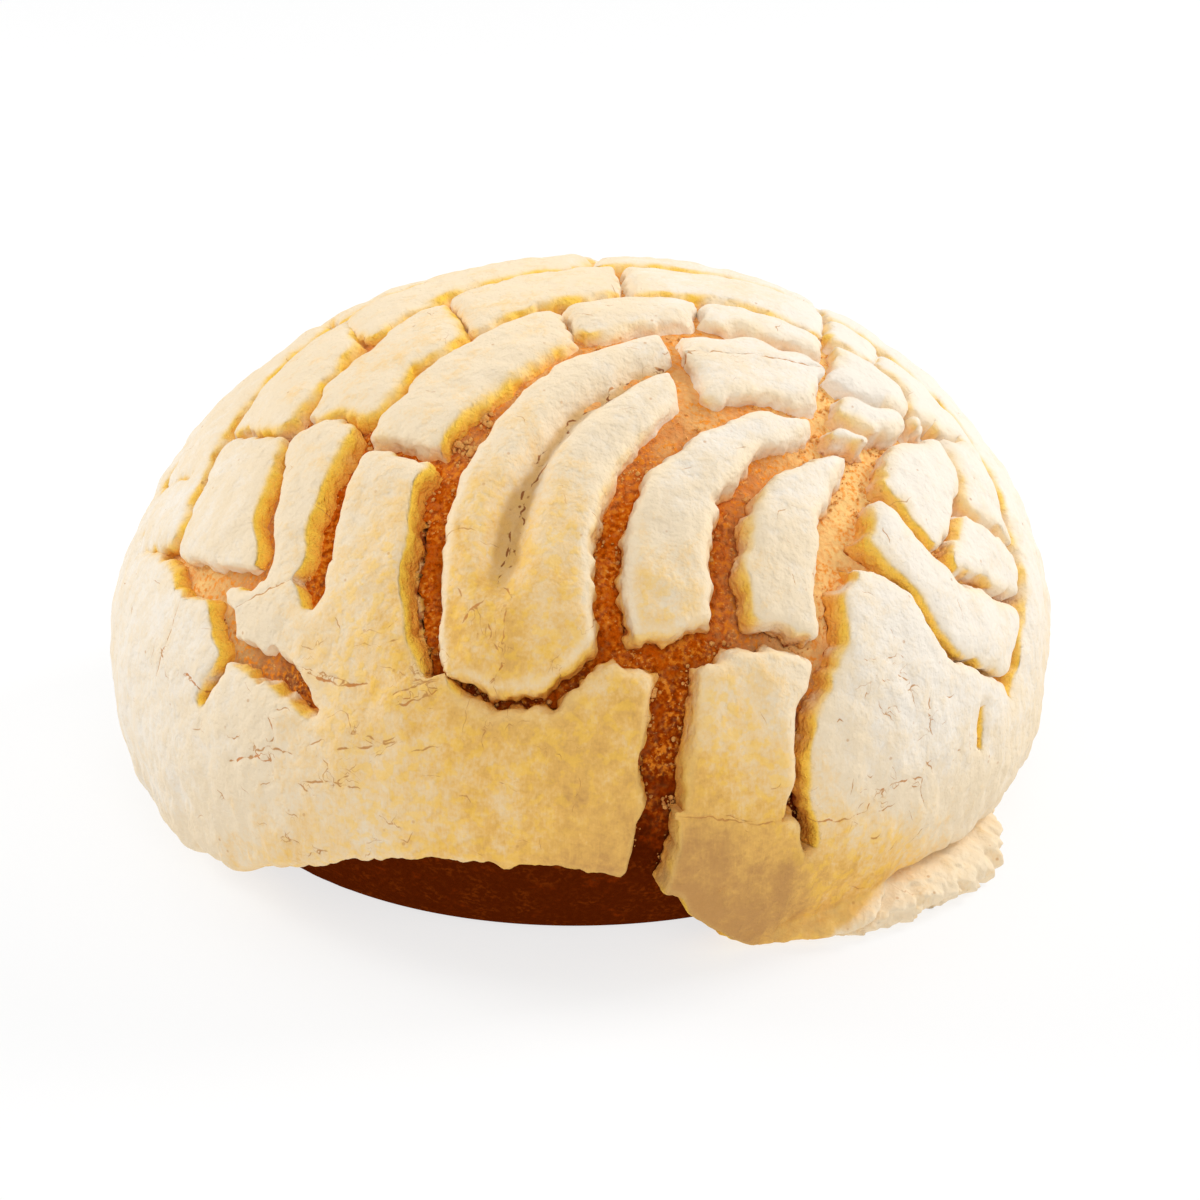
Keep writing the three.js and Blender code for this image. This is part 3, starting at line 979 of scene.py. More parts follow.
@dataclass(frozen=True)
class Layout:
    """Where the gaps, the fine cracks and the valley lie on the sheet of paste."""

    dome: Dome
    valley: Valley = Valley()
    seams: tuple[Seam, ...] = (
        Seam("02", ((15.0, -80.2), (29.0, -79.0), (33.4, -77.0))),
        Seam("01", ((-49.6, -41.2), (-39.8, -42.7))),
        Seam("01", ((-41.4, -53.8), (-33.0, -60.0))),
        Seam("01", ((-28.4, -63.2), (-19.6, -62.4))),
        Seam("01", ((-69.0, -36.3), (-59.0, -32.0))),
        Seam("21", ((11.6, -16.2), (20.0, -12.8), (30.0, -10.6))),
    )
    notch_plate: str = "02"
    notch: tuple[tuple[float, float], ...] = (
        (19.4, -91.6),
        (23.0, -93.8),
        (29.0, -95.4),
        (36.0, -96.6),
        (43.0, -96.0),
        (43.0, -90.0),
        (30.0, -87.5),
    )
    half: float = 1.8
    overlap: float = 0.3
    sunk: float = 0.25
    reach: float = 3.2
    spacing: float = 0.4
    wander: float = 0.6
    seed: int = 5

    def crown(self, flat: np.ndarray) -> np.ndarray:
        """Marks the rows behind the double rib, whose gaps are narrow.

        Args:
            flat: rows of u, v.

        Returns:
            1 over these rows and 0 elsewhere.
        """
        behind = smoothstep(8.0, 11.0, self.valley.side(flat))
        return behind * smoothstep(-30.0, -22.0, flat[:, 1]) * smoothstep(56.0, 34.0, flat[:, 1])

    def tight(self, flat: np.ndarray) -> np.ndarray:
        """Marks where gaps are narrow: over the crown, and among the small plates at the right.

        Args:
            flat: rows of u, v.

        Returns:
            How far the gaps are closed there, 0 to 1.
        """
        u, v = flat[:, 0], flat[:, 1]
        right = smoothstep(37.0, 42.0, u) * smoothstep(-50.0, -44.0, v) * smoothstep(40.0, 20.0, v)
        return np.maximum(self.crown(flat), 0.75 * right)

    def vale(self, sheet: np.ndarray) -> np.ndarray:
        """Marks the valley of the double rib.

        Args:
            sheet: rows of u, v, w.

        Returns:
            1 along it, over the plate's foot.
        """
        near = smoothstep(5.0, 2.5, np.abs(self.valley.side(sheet)))
        return self.valley.beside(sheet) * near * smoothstep(0.25, 0.45, sheet[:, 2] / self.dome.paste)

    def wandered(self, points: np.ndarray) -> np.ndarray:
        """Moves both sides of each gap together, so that no line stays smooth.

        Args:
            points: rows of u, v, w.

        Returns:
            The moved points.
        """
        flat = points * (1.0, 1.0, 0.0)
        free = 1.0 - 0.85 * smoothstep(96.0, 101.0, across(flat))
        moved = points.copy()
        for axis in range(2):
            push = Grain(self.seed + axis).layered(flat, (7.0, 1.0), (2.7, 0.5))
            moved[:, axis] += push * free * self.wander
        return moved

    def stretches(self) -> list[tuple[str, np.ndarray, np.ndarray]]:
        """Cuts the fine cracks into straight stretches.

        Returns:
            The number of the plate that each stretch is in, its start and its end.
        """
        return [
            (seam.plate, np.array(start), np.array(end))
            for seam in self.seams
            for start, end in zip(seam.line, seam.line[1:])
        ]

    def fillings(self, plate: str) -> list[tuple[np.ndarray, float]]:
        """The blocks of paste that close a plate's fine cracks, and the notch at its foot.

        Args:
            plate: the plate's number.

        Returns:
            The outline of each block on the sheet, turning left, and the height of its top.
        """
        blocks = [(np.array(self.notch), self.dome.paste)] if plate == self.notch_plate else []
        for owner, start, end in self.stretches():
            along = (end - start) / np.hypot(*(end - start)) * self.half
            side = np.array((along[1], -along[0]))
            start, end = start - self.overlap * along, end + self.overlap * along
            if owner == plate:
                outline = np.array((start + side, end + side, end - side, start - side))
                blocks.append((outline, self.dome.paste - self.sunk))
        return blocks

    def by_seams(self, flat: np.ndarray) -> tuple[np.ndarray, np.ndarray]:
        """Measures points against the fine cracks.

        Args:
            flat: rows of u, v.

        Returns:
            How far each point lies from them, and the nearest spot on them.
        """
        away = np.full(len(flat), 99.0)
        spots = np.zeros_like(flat)
        for _, start, end in self.stretches():
            steps = int(np.hypot(*(end - start)) / self.spacing) + 2
            run = start + np.linspace(0.0, 1.0, steps)[:, None] * (end - start)
            run = self.wandered(np.c_[run, np.zeros(steps)])[:, :2]
            low, high = run.min(axis=0) - self.reach, run.max(axis=0) + self.reach
            near = np.flatnonzero(((flat > low) & (flat < high)).all(axis=1))
            for spot in run:
                far = across(flat[near] - spot)
                nearer = far < away[near]
                away[near[nearer]] = far[nearer]
                spots[near[nearer]] = spot
        return away, spots


@dataclass(frozen=True)
class Browned:
    """A browned place, which low on the front is also painted shade: its middle on the bun, how far it
    reaches and how brown it is.
    """

    middle: tuple[float, float, float]
    reach: float
    share: float


@dataclass(frozen=True)
class Browning:
    """What the oven did to the paste, with painted highlights, sheen and shade, as numbers that its material
    reads.
    """

    layout: Layout
    # the low places on the front, at the skirt and the flap, are partly browning and partly painted shade
    places: tuple[Browned, ...] = (
        Browned((-10.0, -51.0, 40.0), 34.0, 0.66),
        Browned((7.0, -60.0, 19.0), 34.0, 0.9),
        Browned((-14.0, -58.0, 24.0), 24.0, 0.4),
        Browned((13.0, -57.0, 9.0), 26.0, 1.05),
        Browned((33.0, -50.0, 5.0), 20.0, 0.3),
        Browned((-20.0, 48.0, 36.0), 26.0, 0.5),
        Browned((30.0, 44.0, 30.0), 22.0, 0.45),
    )
    seed: int = 9

    def gilt(self, sheet: np.ndarray, form: np.ndarray, lay: np.ndarray) -> np.ndarray:
        """How golden each wall is, partly browning and partly painted shade: most on walls facing the
        front's middle.

        Args:
            sheet: rows of u, v, w.
            form: the direction of the surface.
            lay: the height over the bread, in thicknesses of the paste.

        Returns:
            0 to about 1 for each point.
        """
        u, v = sheet[:, 0], sheet[:, 1]
        crown = self.layout.crown(sheet)
        side = np.clip((8.0 - u) / 24.0, -0.75, 1.0)
        # walls that face the front's middle, away from the side lamps, get the painted shade
        facing = form[:, 0] * side - form[:, 1] * (0.4 + 0.5 * smoothstep(26.0, 40.0, u))
        facing = np.maximum(facing, -1.1 * form[:, 1] * crown)
        wall = smoothstep(0.25, 0.75, across(form) + 0.22 * crown)
        patch = 0.5 + 0.35 * crown + 0.7 * Grain(self.seed).at(sheet, 3.0)
        front = smoothstep(-10.0, -34.0, v)
        golden = smoothstep(0.0, 0.8, facing) * (0.8 * patch * (1.0 - front) + front)
        foot = 0.7 * smoothstep(0.6, 0.05, lay)
        return wall * (1.0 - 0.12 * smoothstep(6.0, 30.0, u)) * np.maximum(golden, foot)

    def rim(self, sheet: np.ndarray, form: np.ndarray, lay: np.ndarray) -> np.ndarray:
        """A painted highlight along the shoulder of a plate's top, but for the near ends of the ribs.

        Args:
            sheet: rows of u, v, w.
            form: the direction of the surface.
            lay: the height over the bread, in thicknesses of the paste.

        Returns:
            1 along the shoulder.
        """
        tip = smoothstep(0.15, 0.6, -form[:, 1]) * smoothstep(-38.0, -48.0, sheet[:, 1])
        pale = (1.0 - 0.85 * tip) * (1.0 - self.layout.crown(sheet)) * (1.0 - self.layout.vale(sheet))
        return smoothstep(0.06, 0.5, across(form)) * smoothstep(0.35, 0.7, lay) * pale

    def sun(self, points: np.ndarray) -> np.ndarray:
        """How far the paste browned, with painted shade low on the front.

        Args:
            points: rows of x, y, z.

        Returns:
            1 where it browned well, and below 0 on the floury right side, whose paleness is partly painted
            sheen.
        """
        x, y, z = points.T
        ledge = smoothstep(0.7, -0.7, z - 5.2 * smoothstep(26.0, 39.0, x)) * smoothstep(24.0, 28.0, x)
        # paler to the right and the left: floury paste, partly a painted sheen from the side lamps
        right = smoothstep(18.0, 44.0, x) * (0.35 + 0.65 * smoothstep(14.0, 34.0, z))
        total = -0.8 * right * (1.0 - ledge)
        total -= 0.55 * smoothstep(-30.0, -54.0, x) * (0.75 + 0.25 * smoothstep(4.0, 14.0, z))
        total -= 0.5 * smoothstep(46.0, 58.0, z) * smoothstep(-6.0, 16.0, x)
        for place in self.places:
            away = np.linalg.norm(points - np.array(place.middle), axis=1)
            near = smoothstep(place.reach, 2.0, away) * (1.0 - 0.9 * ledge)
            total = np.maximum(total, total + (place.share - total) * near)
        # painted shade: the front grows darker towards the table, where it faces down
        front = smoothstep(-20.0, -46.0, y) * (1.0 - ledge)
        return total + 0.5 * front * smoothstep(25.0, 3.0, z)

    def mottle(self, sheet: np.ndarray, lumps: np.ndarray) -> np.ndarray:
        """Blotches that warm and pale the paste.

        Args:
            sheet: rows of u, v, w.
            lumps: the height of the small lumps.

        Returns:
            0 to 1 for each point.
        """
        total = Grain(self.seed + 2).layered(sheet, (11.0, 0.5), (4.5, 0.7), (1.9, 0.5))
        return np.clip(np.clip(0.5 + 0.5 * total, 0.0, 1.0) + 0.5 * lumps, 0.0, 1.0)


@dataclass
class Topping:
    """The plates of paste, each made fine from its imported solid."""

    layout: Layout
    hair: HairCracks
    browning: Browning
    material: bpy.types.Material
    voxel: float = 0.42
    bottom: float = 0.2
    scallop: float = 0.95
    wide_scallop: float = 1.5
    chip: float = 0.5
    fray: float = 0.5
    spreading: float = 1.4
    narrow: float = 0.55
    broad: tuple[str, ...] = ("01", "02", "03", "15")
    rounding: int = 36
    torn: float = 0.15
    crack_depth: float = 0.2
    crack_side: float = 0.35
    skirt_edge: float = 97.0
    deepest: float = 2.7
    crease_at: float = 98.6
    crease_depth: float = 1.1
    crease_width: float = 0.6
    spare: float = 0.06
    seed: int = 5
    pieces: list[bpy.types.Object] = field(default_factory=list)
    feet: list[np.ndarray] = field(default_factory=list)

    def build(self, nodes: dict[str, bpy.types.Object]) -> None:
        """Makes one fine plate for each packed one.

        Args:
            nodes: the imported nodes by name.
        """
        for _, start, end in self.layout.stretches():
            ends = self.layout.wandered(np.array(((*start, 0.0), (*end, 0.0))))
            self.hair.tear(ends[0, :2], ends[1, :2], self.torn)
        fines = {name: self._fine(node) for name, node in nodes.items() if name.startswith("topping")}
        outlines = {name: self._outline(fine) for name, fine in fines.items()}
        for name, fine in sorted(fines.items()):
            others = np.concatenate([line for other, line in outlines.items() if other != name])
            self.pieces.append(self._plate(name, fine, others))

    def _fine(self, node: bpy.types.Object) -> Fine:
        """Makes a packed plate fine.

        Args:
            node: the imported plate.

        Returns:
            The fine plate, on the sheet, with its fine cracks filled.
        """
        corners, faces = self._merged(node)
        sheet = self.layout.dome.flatten(corners)
        for outline, top in self.layout.fillings(node.name[-2:]):
            count, low = len(outline), len(sheet)
            high = low + count
            for height in (self.bottom, top):
                sheet = np.vstack([sheet, np.c_[outline, np.full(count, height)]])
            faces.append([low + i for i in reversed(range(count))])
            faces.append([high + i for i in range(count)])
            for i in range(count):
                j = (i + 1) % count
                faces.append([low + i, low + j, high + j, high + i])
        fine = Fine.remeshed(sheet, faces, self.voxel)
        fine.points = self.layout.wandered(fine.points)
        return fine

    def _merged(self, node: bpy.types.Object) -> tuple[np.ndarray, list[list[int]]]:
        """Reads a packed plate.

        Args:
            node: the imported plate.

        Returns:
            Its corners in mm, each once, and its facets.
        """
        co = np.empty(len(node.data.vertices) * 3)
        node.data.vertices.foreach_get("co", co)
        points = co.reshape(-1, 3) / MM
        _, first, place = np.unique(np.round(points, 3), axis=0, return_index=True, return_inverse=True)
        place = place.ravel()
        faces = [[int(place[i]) for i in polygon.vertices] for polygon in node.data.polygons]
        return points[first], [face for face in faces if len(set(face)) == len(face)]

    def _outline(self, fine: Fine) -> np.ndarray:
        """Finds a plate's walls where the gaps are narrow.

        Args:
            fine: the plate.

        Returns:
            Spots along these walls, as rows of u, v.
        """
        spacing = 0.6
        wall = (across(fine.normals()) > 0.7) & (np.abs(fine.points[:, 2] - 2.2) < 0.6)
        flat = fine.points[wall, :2]
        return np.unique(np.round(flat[self.layout.tight(flat) > 0.0] / spacing), axis=0) * spacing

    def _plate(self, name: str, fine: Fine, others: np.ndarray) -> bpy.types.Object:
        """One plate, from the flat sheet to its place on the dome.

        Args:
            name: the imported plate's name.
            fine: the plate, which is worked in place.
            others: spots along the other plates' walls.

        Returns:
            The plate.
        """
        paste = self.layout.dome.paste
        away, _ = self.layout.by_seams(fine.points[:, :2])
        free = smoothstep(0.6, 3.0, away)
        self._spread(fine, name, others)
        self._scallop(fine, name, free)
        fine.smooth(self.rounding, 0.5 * self._softness(fine) * free)
        self._knit(fine)
        fine.smooth(4, 0.4 * smoothstep(2.0, 1.0, away))
        form = fine.normals()
        self._chip(fine, form, 0.3 + 0.7 * free)
        under = smoothstep(-0.7, -0.9, form[:, 2]) * smoothstep(0.12, 0.05, fine.points[:, 2])
        lay = np.clip(fine.points[:, 2] / paste, 0.0, 1.5)
        self._fray(fine, form, lay, 0.15 + 0.85 * free)
        split, gape = self.hair.read(fine.points[:, :2])
        lumps = self._relief(fine, form, lay)
        groove = self.crack_depth * np.exp(-((split / self.crack_side) ** 2)) * smoothstep(0.0, 0.12, gape)
        fine.points -= form * (groove * smoothstep(0.4, 0.7, lay))[:, None]
        fold = self._groove(fine, form) if name.endswith("04") else np.zeros(len(lay))
        sheet, fine.points = fine.points, self.layout.dome.bend(fine.points)
        ribbed = 0.0 if name[-2:] in self.broad else 1.0
        sun = self.browning.sun(fine.points)
        rim = self.browning.rim(sheet, form, lay) * free * (0.6 + 0.4 * ribbed)
        gilt = self.browning.gilt(sheet, form, lay) * (1.0 - self.layout.vale(sheet))
        values = {"lay": lay, "rim": rim, "split": split, "gape": gape, "fold": fold}
        values["gilt"] = gilt * (0.2 + 0.8 * free)
        values["sun"] = np.where(sun > 0.0, sun * (1.0 - 0.6 * rim * ribbed), sun)
        values["mottle"] = self.browning.mottle(sheet, lumps)
        made = fine.to_object("paste_" + name[-2:], values)
        self._thin(made, under)
        made.data.materials.append(self.material)
        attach(made, "root")
        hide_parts(name)
        edge = (np.abs(lay - 0.06) < 0.06) & (across(form) > 0.7)
        self.feet.append(np.c_[sheet[edge], form[edge]])
        return made

    def _off_skirt(self, fine: Fine, before: float, after: float = 0.0, share: float = 0.85) -> np.ndarray:
        """Spares the lower edge of the skirt.

        Args:
            fine: the plate.
            before: how far above the edge the change starts, in mm.
            after: how far below it the change is whole.
            share: how much of the work the edge is spared.

        Returns:
            1 above the edge and little at it.
        """
        edge = self.skirt_edge
        return 1.0 - share * smoothstep(edge - before, edge + after, across(fine.points))

    def _spread(self, fine: Fine, name: str, others: np.ndarray) -> None:
        """Widens a plate until its gaps are narrow, where they are, and sets one wall back.

        Args:
            fine: the plate.
            name: its name.
            others: spots along the other plates' walls.
        """
        form = fine.normals()
        wall = smoothstep(0.3, 0.8, across(form))
        flat = fine.points[:, :2]
        tight = self.layout.tight(flat)
        push = np.zeros(len(flat))
        here = np.flatnonzero(wall * tight > 0.0)
        here = here[np.argsort(np.arctan2(flat[here, 1] + 60.0, flat[here, 0]))]
        for near in np.array_split(here, 50):
            if len(near):
                low, high = flat[near].min(axis=0) - 5.0, flat[near].max(axis=0) + 5.0
                close = others[((others > low) & (others < high)).all(axis=1)]
                close = close if len(close) else others
                gap = np.sqrt(((flat[near, None, :] - close[None]) ** 2).sum(axis=2).min(axis=1))
                push[near] = np.clip(0.5 * (gap - self.narrow), 0.0, self.spreading) * tight[near]
        if name.endswith("01"):
            push -= 1.1 * smoothstep(15.0, 9.0, np.hypot(flat[:, 0] + 23.0, flat[:, 1] + 47.0))
        fine.push(form, push * wall)

    def _scallop(self, fine: Fine, name: str, free: np.ndarray) -> None:
        """Breaks a plate's walls into the lumps that dough crumbles along.

        Args:
            fine: the plate.
            name: its name.
            free: 0 where the walls stay as they are.
        """
        form = fine.normals()
        plate = int(name[-2:])
        wall = smoothstep(0.35, 0.85, across(form)) * free * self._off_skirt(fine, 3.0, 1.0, 0.8)
        grain = Grain(self.seed + 40 + plate)
        flat = fine.points[:, :2]
        push = grain.lumps(flat, 5.0) * 0.65 + grain.lumps(flat + 50.0, 2.7) * 0.35 - 0.45
        fine.push(form, push * wall * self.scallop * (self.wide_scallop if plate == 2 else 1.0))

    def _softness(self, fine: Fine) -> np.ndarray:
        """How far each point is smoothed: not at the foot, and most over the crown and the front.

        Args:
            fine: the plate.

        Returns:
            0 to 1 for each point.
        """
        u, v, w = fine.points.T
        hold = smoothstep(0.05, 0.5, w / self.layout.dome.paste)
        soft = smoothstep(-50.0, -34.0, u) * smoothstep(44.0, 28.0, u) * smoothstep(-86.0, -70.0, v)
        soft *= 1.0 - 0.7 * self.layout.crown(fine.points)
        return np.maximum(hold * (0.3 + 0.7 * soft), self.layout.vale(fine.points))

    def _knit(self, fine: Fine) -> None:
        """Draws the two sides of the fine cracks together, and lifts the paste there to its full height.

        Args:
            fine: the plate.
        """
        reach, paste = self.layout.reach, self.layout.dome.paste
        flat, w = fine.points[:, :2], fine.points[:, 2]
        away, spots = self.layout.by_seams(flat)
        near = away < reach
        low = smoothstep(0.8, 0.4, w[near] / paste)
        share = (away[near] / reach) ** (1.7 + 1.6 * low)
        fine.points[near, :2] = spots[near] + (flat[near] - spots[near]) * share[:, None]
        upper = smoothstep(0.4, 0.65, w / paste) * smoothstep(3.0, 1.2, away)
        w += np.maximum(paste - w, 0.0) * upper * 0.75

    def _chip(self, fine: Fine, form: np.ndarray, loose: np.ndarray) -> None:
        """Makes the edge of the top lumpy, and the wall under it with it.

        Args:
            fine: the plate.
            form: the direction of its surface.
            loose: how far it may break up at each point.
        """
        flat = fine.points[:, :2]
        grain = Grain(self.seed + 20)
        crown = self.layout.crown(flat)
        push = (grain.lumps(flat, 3.1) - 0.5) * 0.6 + 0.9 * grain.at(fine.points * (1.0, 1.0, 0.5), 1.5)
        push += (grain.lumps(flat + 20.0, 1.9) - 0.5) * (0.35 + 0.45 * crown)
        patches = smoothstep(-0.5, 0.35, grain.at(fine.points * (1.0, 1.0, 0.0) + 9.0, 9.0))
        free = loose * self._off_skirt(fine, 7.0) * np.maximum(patches, crown)
        fine.push(form, push * smoothstep(0.1, 0.5, across(form)) * self.chip * free)

    def _fray(self, fine: Fine, form: np.ndarray, lay: np.ndarray, loose: np.ndarray) -> None:
        """Chips a plate's walls, a little at the shoulder and most at the foot.

        Args:
            fine: the plate.
            form: the direction of its surface.
            lay: its height over the bread, in thicknesses of the paste.
            loose: how far it may break up at each point.
        """
        grain = Grain(self.seed + 2)
        chip = grain.at(fine.points, 1.1) * 0.7 + grain.at(fine.points * (1.0, 1.0, 0.25), 1.9) * 0.9
        depth = self.fray * smoothstep(0.35, 0.85, across(form)) * (0.45 + 0.75 * smoothstep(0.75, 0.1, lay))
        fine.push(form, chip * depth * loose * self._off_skirt(fine, 4.0))

    def _relief(self, fine: Fine, form: np.ndarray, lay: np.ndarray) -> np.ndarray:
        """Gives the top its soft lumps.

        Args:
            fine: the plate.
            form: the direction of its surface.
            lay: its height over the bread, in thicknesses of the paste.

        Returns:
            The height of the small lumps at each point.
        """
        grain = Grain(self.seed + 3)
        swell = grain.layered(fine.points, (17.0, 0.4), (7.0, 0.3))
        lumps = grain.layered(fine.points, (3.2, 0.24), (1.6, 0.09))
        fine.points += form * ((swell + lumps) * smoothstep(0.3, 0.8, lay))[:, None]
        self._crease(fine)
        fine.points[:, 2] = np.maximum(fine.points[:, 2], -0.3)
        return lumps

    def _crease(self, fine: Fine) -> None:
        """Parts the skirt from the crumbly ledge that it squeezed out at the right of its foot.

        Args:
            fine: the plate.
        """
        u, v, w = fine.points.T
        drop = np.hypot(u, v)
        turn = np.degrees(np.arctan2(u, -v))
        here = smoothstep(27.0, 33.0, turn) * smoothstep(84.0, 74.0, turn) * smoothstep(2.0, 3.5, w)
        past = drop - self.crease_at - 5.6 * smoothstep(45.0, 31.0, turn)
        dip = self.crease_depth * np.exp(-((past / self.crease_width) ** 2))
        rough = smoothstep(-0.1, 1.4, past) * smoothstep(3.6, 5.0, w)
        place = self.layout.dome.bend(fine.points)
        crumbs = Grain(self.seed + 9).layered(place, (2.4, 0.6), (1.2, 0.45)) - 0.4
        fine.points[:, 2] += here * (crumbs * rough - dip)

    def _groove(self, fine: Fine, form: np.ndarray) -> np.ndarray:
        """Gives the valley of the double rib its soft sides, down to where it runs out.

        Args:
            fine: the plate.
            form: the direction of its surface.

        Returns:
            1 along the floor of the valley.
        """
        paste = self.layout.dome.paste
        flat = fine.points * (1.0, 1.0, 0.0)
        v = flat[:, 1]
        side = self.layout.valley.side(flat)
        upper = smoothstep(0.2, 0.5, form[:, 2]) * smoothstep(0.25, 0.4, fine.points[:, 2] / paste)
        top = self.layout.valley.beside(flat) * upper * smoothstep(6.5, 4.5, np.abs(side))
        grain = Grain(self.seed + 13)
        side = np.abs(side + grain.layered(flat, (6.0, 0.5), (1.7, 0.3)))
        deep = smoothstep(-57.0, -47.0, v)
        floor = 0.6 + 1.1 * smoothstep(-36.0, -43.0, v) * smoothstep(-54.0, -50.0, v)
        drop = self.deepest * deep * np.exp(-((side / (floor + 1.1)) ** 2.2))
        target = paste + 0.3 + grain.at(flat, 3.0) * 0.25 - drop
        fine.points[:, 2] += (target - fine.points[:, 2]) * top
        fine.smooth(10, 0.5 * top)
        return top * deep * smoothstep(floor + 0.6, floor - 0.4, side)

    def _thin(self, made: bpy.types.Object, under: np.ndarray) -> None:
        """Merges most faces of a plate's underside, which the bread hides.

        Args:
            made: the plate.
            under: 1 over its underside.
        """
        group = made.vertex_groups.new(name="under")
        hidden = np.flatnonzero(under > 0.5)
        group.add(hidden.tolist(), 1.0, "REPLACE")
        thin = made.modifiers.new("thin", "DECIMATE")
        thin.vertex_group = group.name
        thin.ratio = 1.0 - len(hidden) / len(under) * (1.0 - self.spare)
        graph = bpy.context.evaluated_depsgraph_get()
        shaped = bpy.data.meshes.new_from_object(
            made.evaluated_get(graph), preserve_all_data_layers=True, depsgraph=graph
        )
        made.modifiers.clear()
        made.vertex_groups.clear()
        coarse, made.data = made.data, shaped
        bpy.data.meshes.remove(coarse)


@dataclass
class Bun:
    """The bread under the paste."""

    dome: Dome
    material: bpy.types.Material
    around: int = 540
    rows_under: int = 14
    rows_beside: int = 40
    rows_over: int = 130
    pole: float = 0.02
    last_turn: float = 0.004
    left_rise: float = 2.2
    top_rise: float = 2.6
    right_rise: float = 1.5
    seed: int = 11

    def build(self) -> bpy.types.Object:
        """Turns the bread's section and roughens it.

        Returns:
            The bun.
        """
        fine = self._turned()
        form = fine.normals()
        place = fine.points.copy()
        fine.points += form * self.swollen(place)[:, None]
        made = fine.to_object("bread", self._values(place))
        made.data.materials.append(self.material)
        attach(made, "root")
        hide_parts("bun")
        return made

    def swollen(self, place: np.ndarray) -> np.ndarray:
        """How far the crust stands out from its even form.

        Args:
            place: rows of x, y, z.

        Returns:
            The distance at each place, in mm.
        """
        swell = Grain(self.seed).layered(place, (12.0, 0.25), (3.0, 0.2), (1.4, 0.2))
        return (swell - 0.15) * smoothstep(0.4, 2.5, place[:, 2]) + self._rise(place)

    def _rise(self, place: np.ndarray) -> np.ndarray:
        """How far the bread swells into the cracks: least low in front.

        Args:
            place: rows of x, y, z.

        Returns:
            The distance at each place, in mm.
        """
        x, z = place[:, 0], place[:, 2]
        left = self.left_rise * smoothstep(-16.0, -34.0, x)
        top = self.top_rise * smoothstep(46.0, 58.0, z)
        right = self.right_rise * smoothstep(20.0, 40.0, x)
        return smoothstep(20.0, 32.0, z) * np.maximum(np.maximum(left, top), right)

    def _turned(self) -> Fine:
        """Turns the section about the upright axis, with the lean of the dome.

        Returns:
            The even form of the bread.
        """
        section = self._section()
        rows = len(section)
        turn = np.linspace(0.0, 2.0 * math.pi, self.around, endpoint=False)
        r, z = section[:, 0][:, None], section[:, 1][:, None]
        x = r * np.sin(turn)[None, :] + self.dome.lean * z
        y = -r * np.cos(turn)[None, :]
        points = np.stack([x, y, np.broadcast_to(z, x.shape)], axis=2).reshape(-1, 3)
        i, j = np.meshgrid(np.arange(rows - 1), np.arange(self.around), indexing="ij")
        a = i * self.around + j
        b = i * self.around + (j + 1) % self.around
        quads = np.stack([a, b, b + self.around, a + self.around], axis=2).reshape(-1, 4)
        return Fine(points, quads)

    def _values(self, place: np.ndarray) -> dict[str, np.ndarray]:
        """What the crust's material reads.

        Args:
            place: rows of x, y, z.

        Returns:
            How deep down, how fair and how sugary the crust is at each place, 0 to 1.
        """
        grain = Grain(self.seed + 1)
        blot = grain.layered(place, (6.0, 0.6), (2.5, 0.4))
        height = place[:, 2] + blot * 5.0
        right = 1.2 * smoothstep(13.0, 33.0, place[:, 0]) * smoothstep(24.0, 40.0, height)
        left = smoothstep(-28.0, -46.0, place[:, 0])
        back = smoothstep(0.0, 30.0, place[:, 1]) * smoothstep(16.0, 30.0, height)
        crown = 0.6 * smoothstep(50.0, 58.0, height)
        fair = np.maximum(np.maximum(right, left), np.maximum(back, crown)) * (0.85 + 0.3 * blot)
        sugar = smoothstep(-0.15, 0.45, grain.at(place + 70.0, 3.0) + 0.4 * smoothstep(14.0, 40.0, height))
        return {"depth": smoothstep(52.0, 6.0, height), "fair": np.clip(fair, 0.0, 1.0), "sugar": sugar}

    def _section(self) -> np.ndarray:
        """Draws the bread's section.

        Returns:
            Rows of a radius and a height, from the middle of the base to the crown.
        """
        d = self.dome
        widest = d.bread_radius(np.array(0.0))
        base = [(r, 0.0) for r in np.linspace(self.pole, widest, self.rows_under)[:-1]]
        heights = np.linspace(0.0, d.waist_z, self.rows_beside)[:-1]
        side = [(float(d.bread_radius(z)), float(z)) for z in heights]
        a = np.linspace(math.pi / 2, self.last_turn, self.rows_over)
        length = np.hypot(d.crown_h * np.sin(a), d.waist_r * np.cos(a))
        inset = d.paste + d.seat
        r = d.waist_r * np.sin(a) - inset * d.crown_h * np.sin(a) / length
        z = d.waist_z + d.crown_h * np.cos(a) - inset * d.waist_r * np.cos(a) / length
        return np.array(base + side + list(zip(r, z)))


@dataclass(frozen=True)
class Heap:
    """A small heap of pale crumbs: its middle on the sheet, how far it spreads and how many they are."""

    u: float
    v: float
    spread: float
    count: int


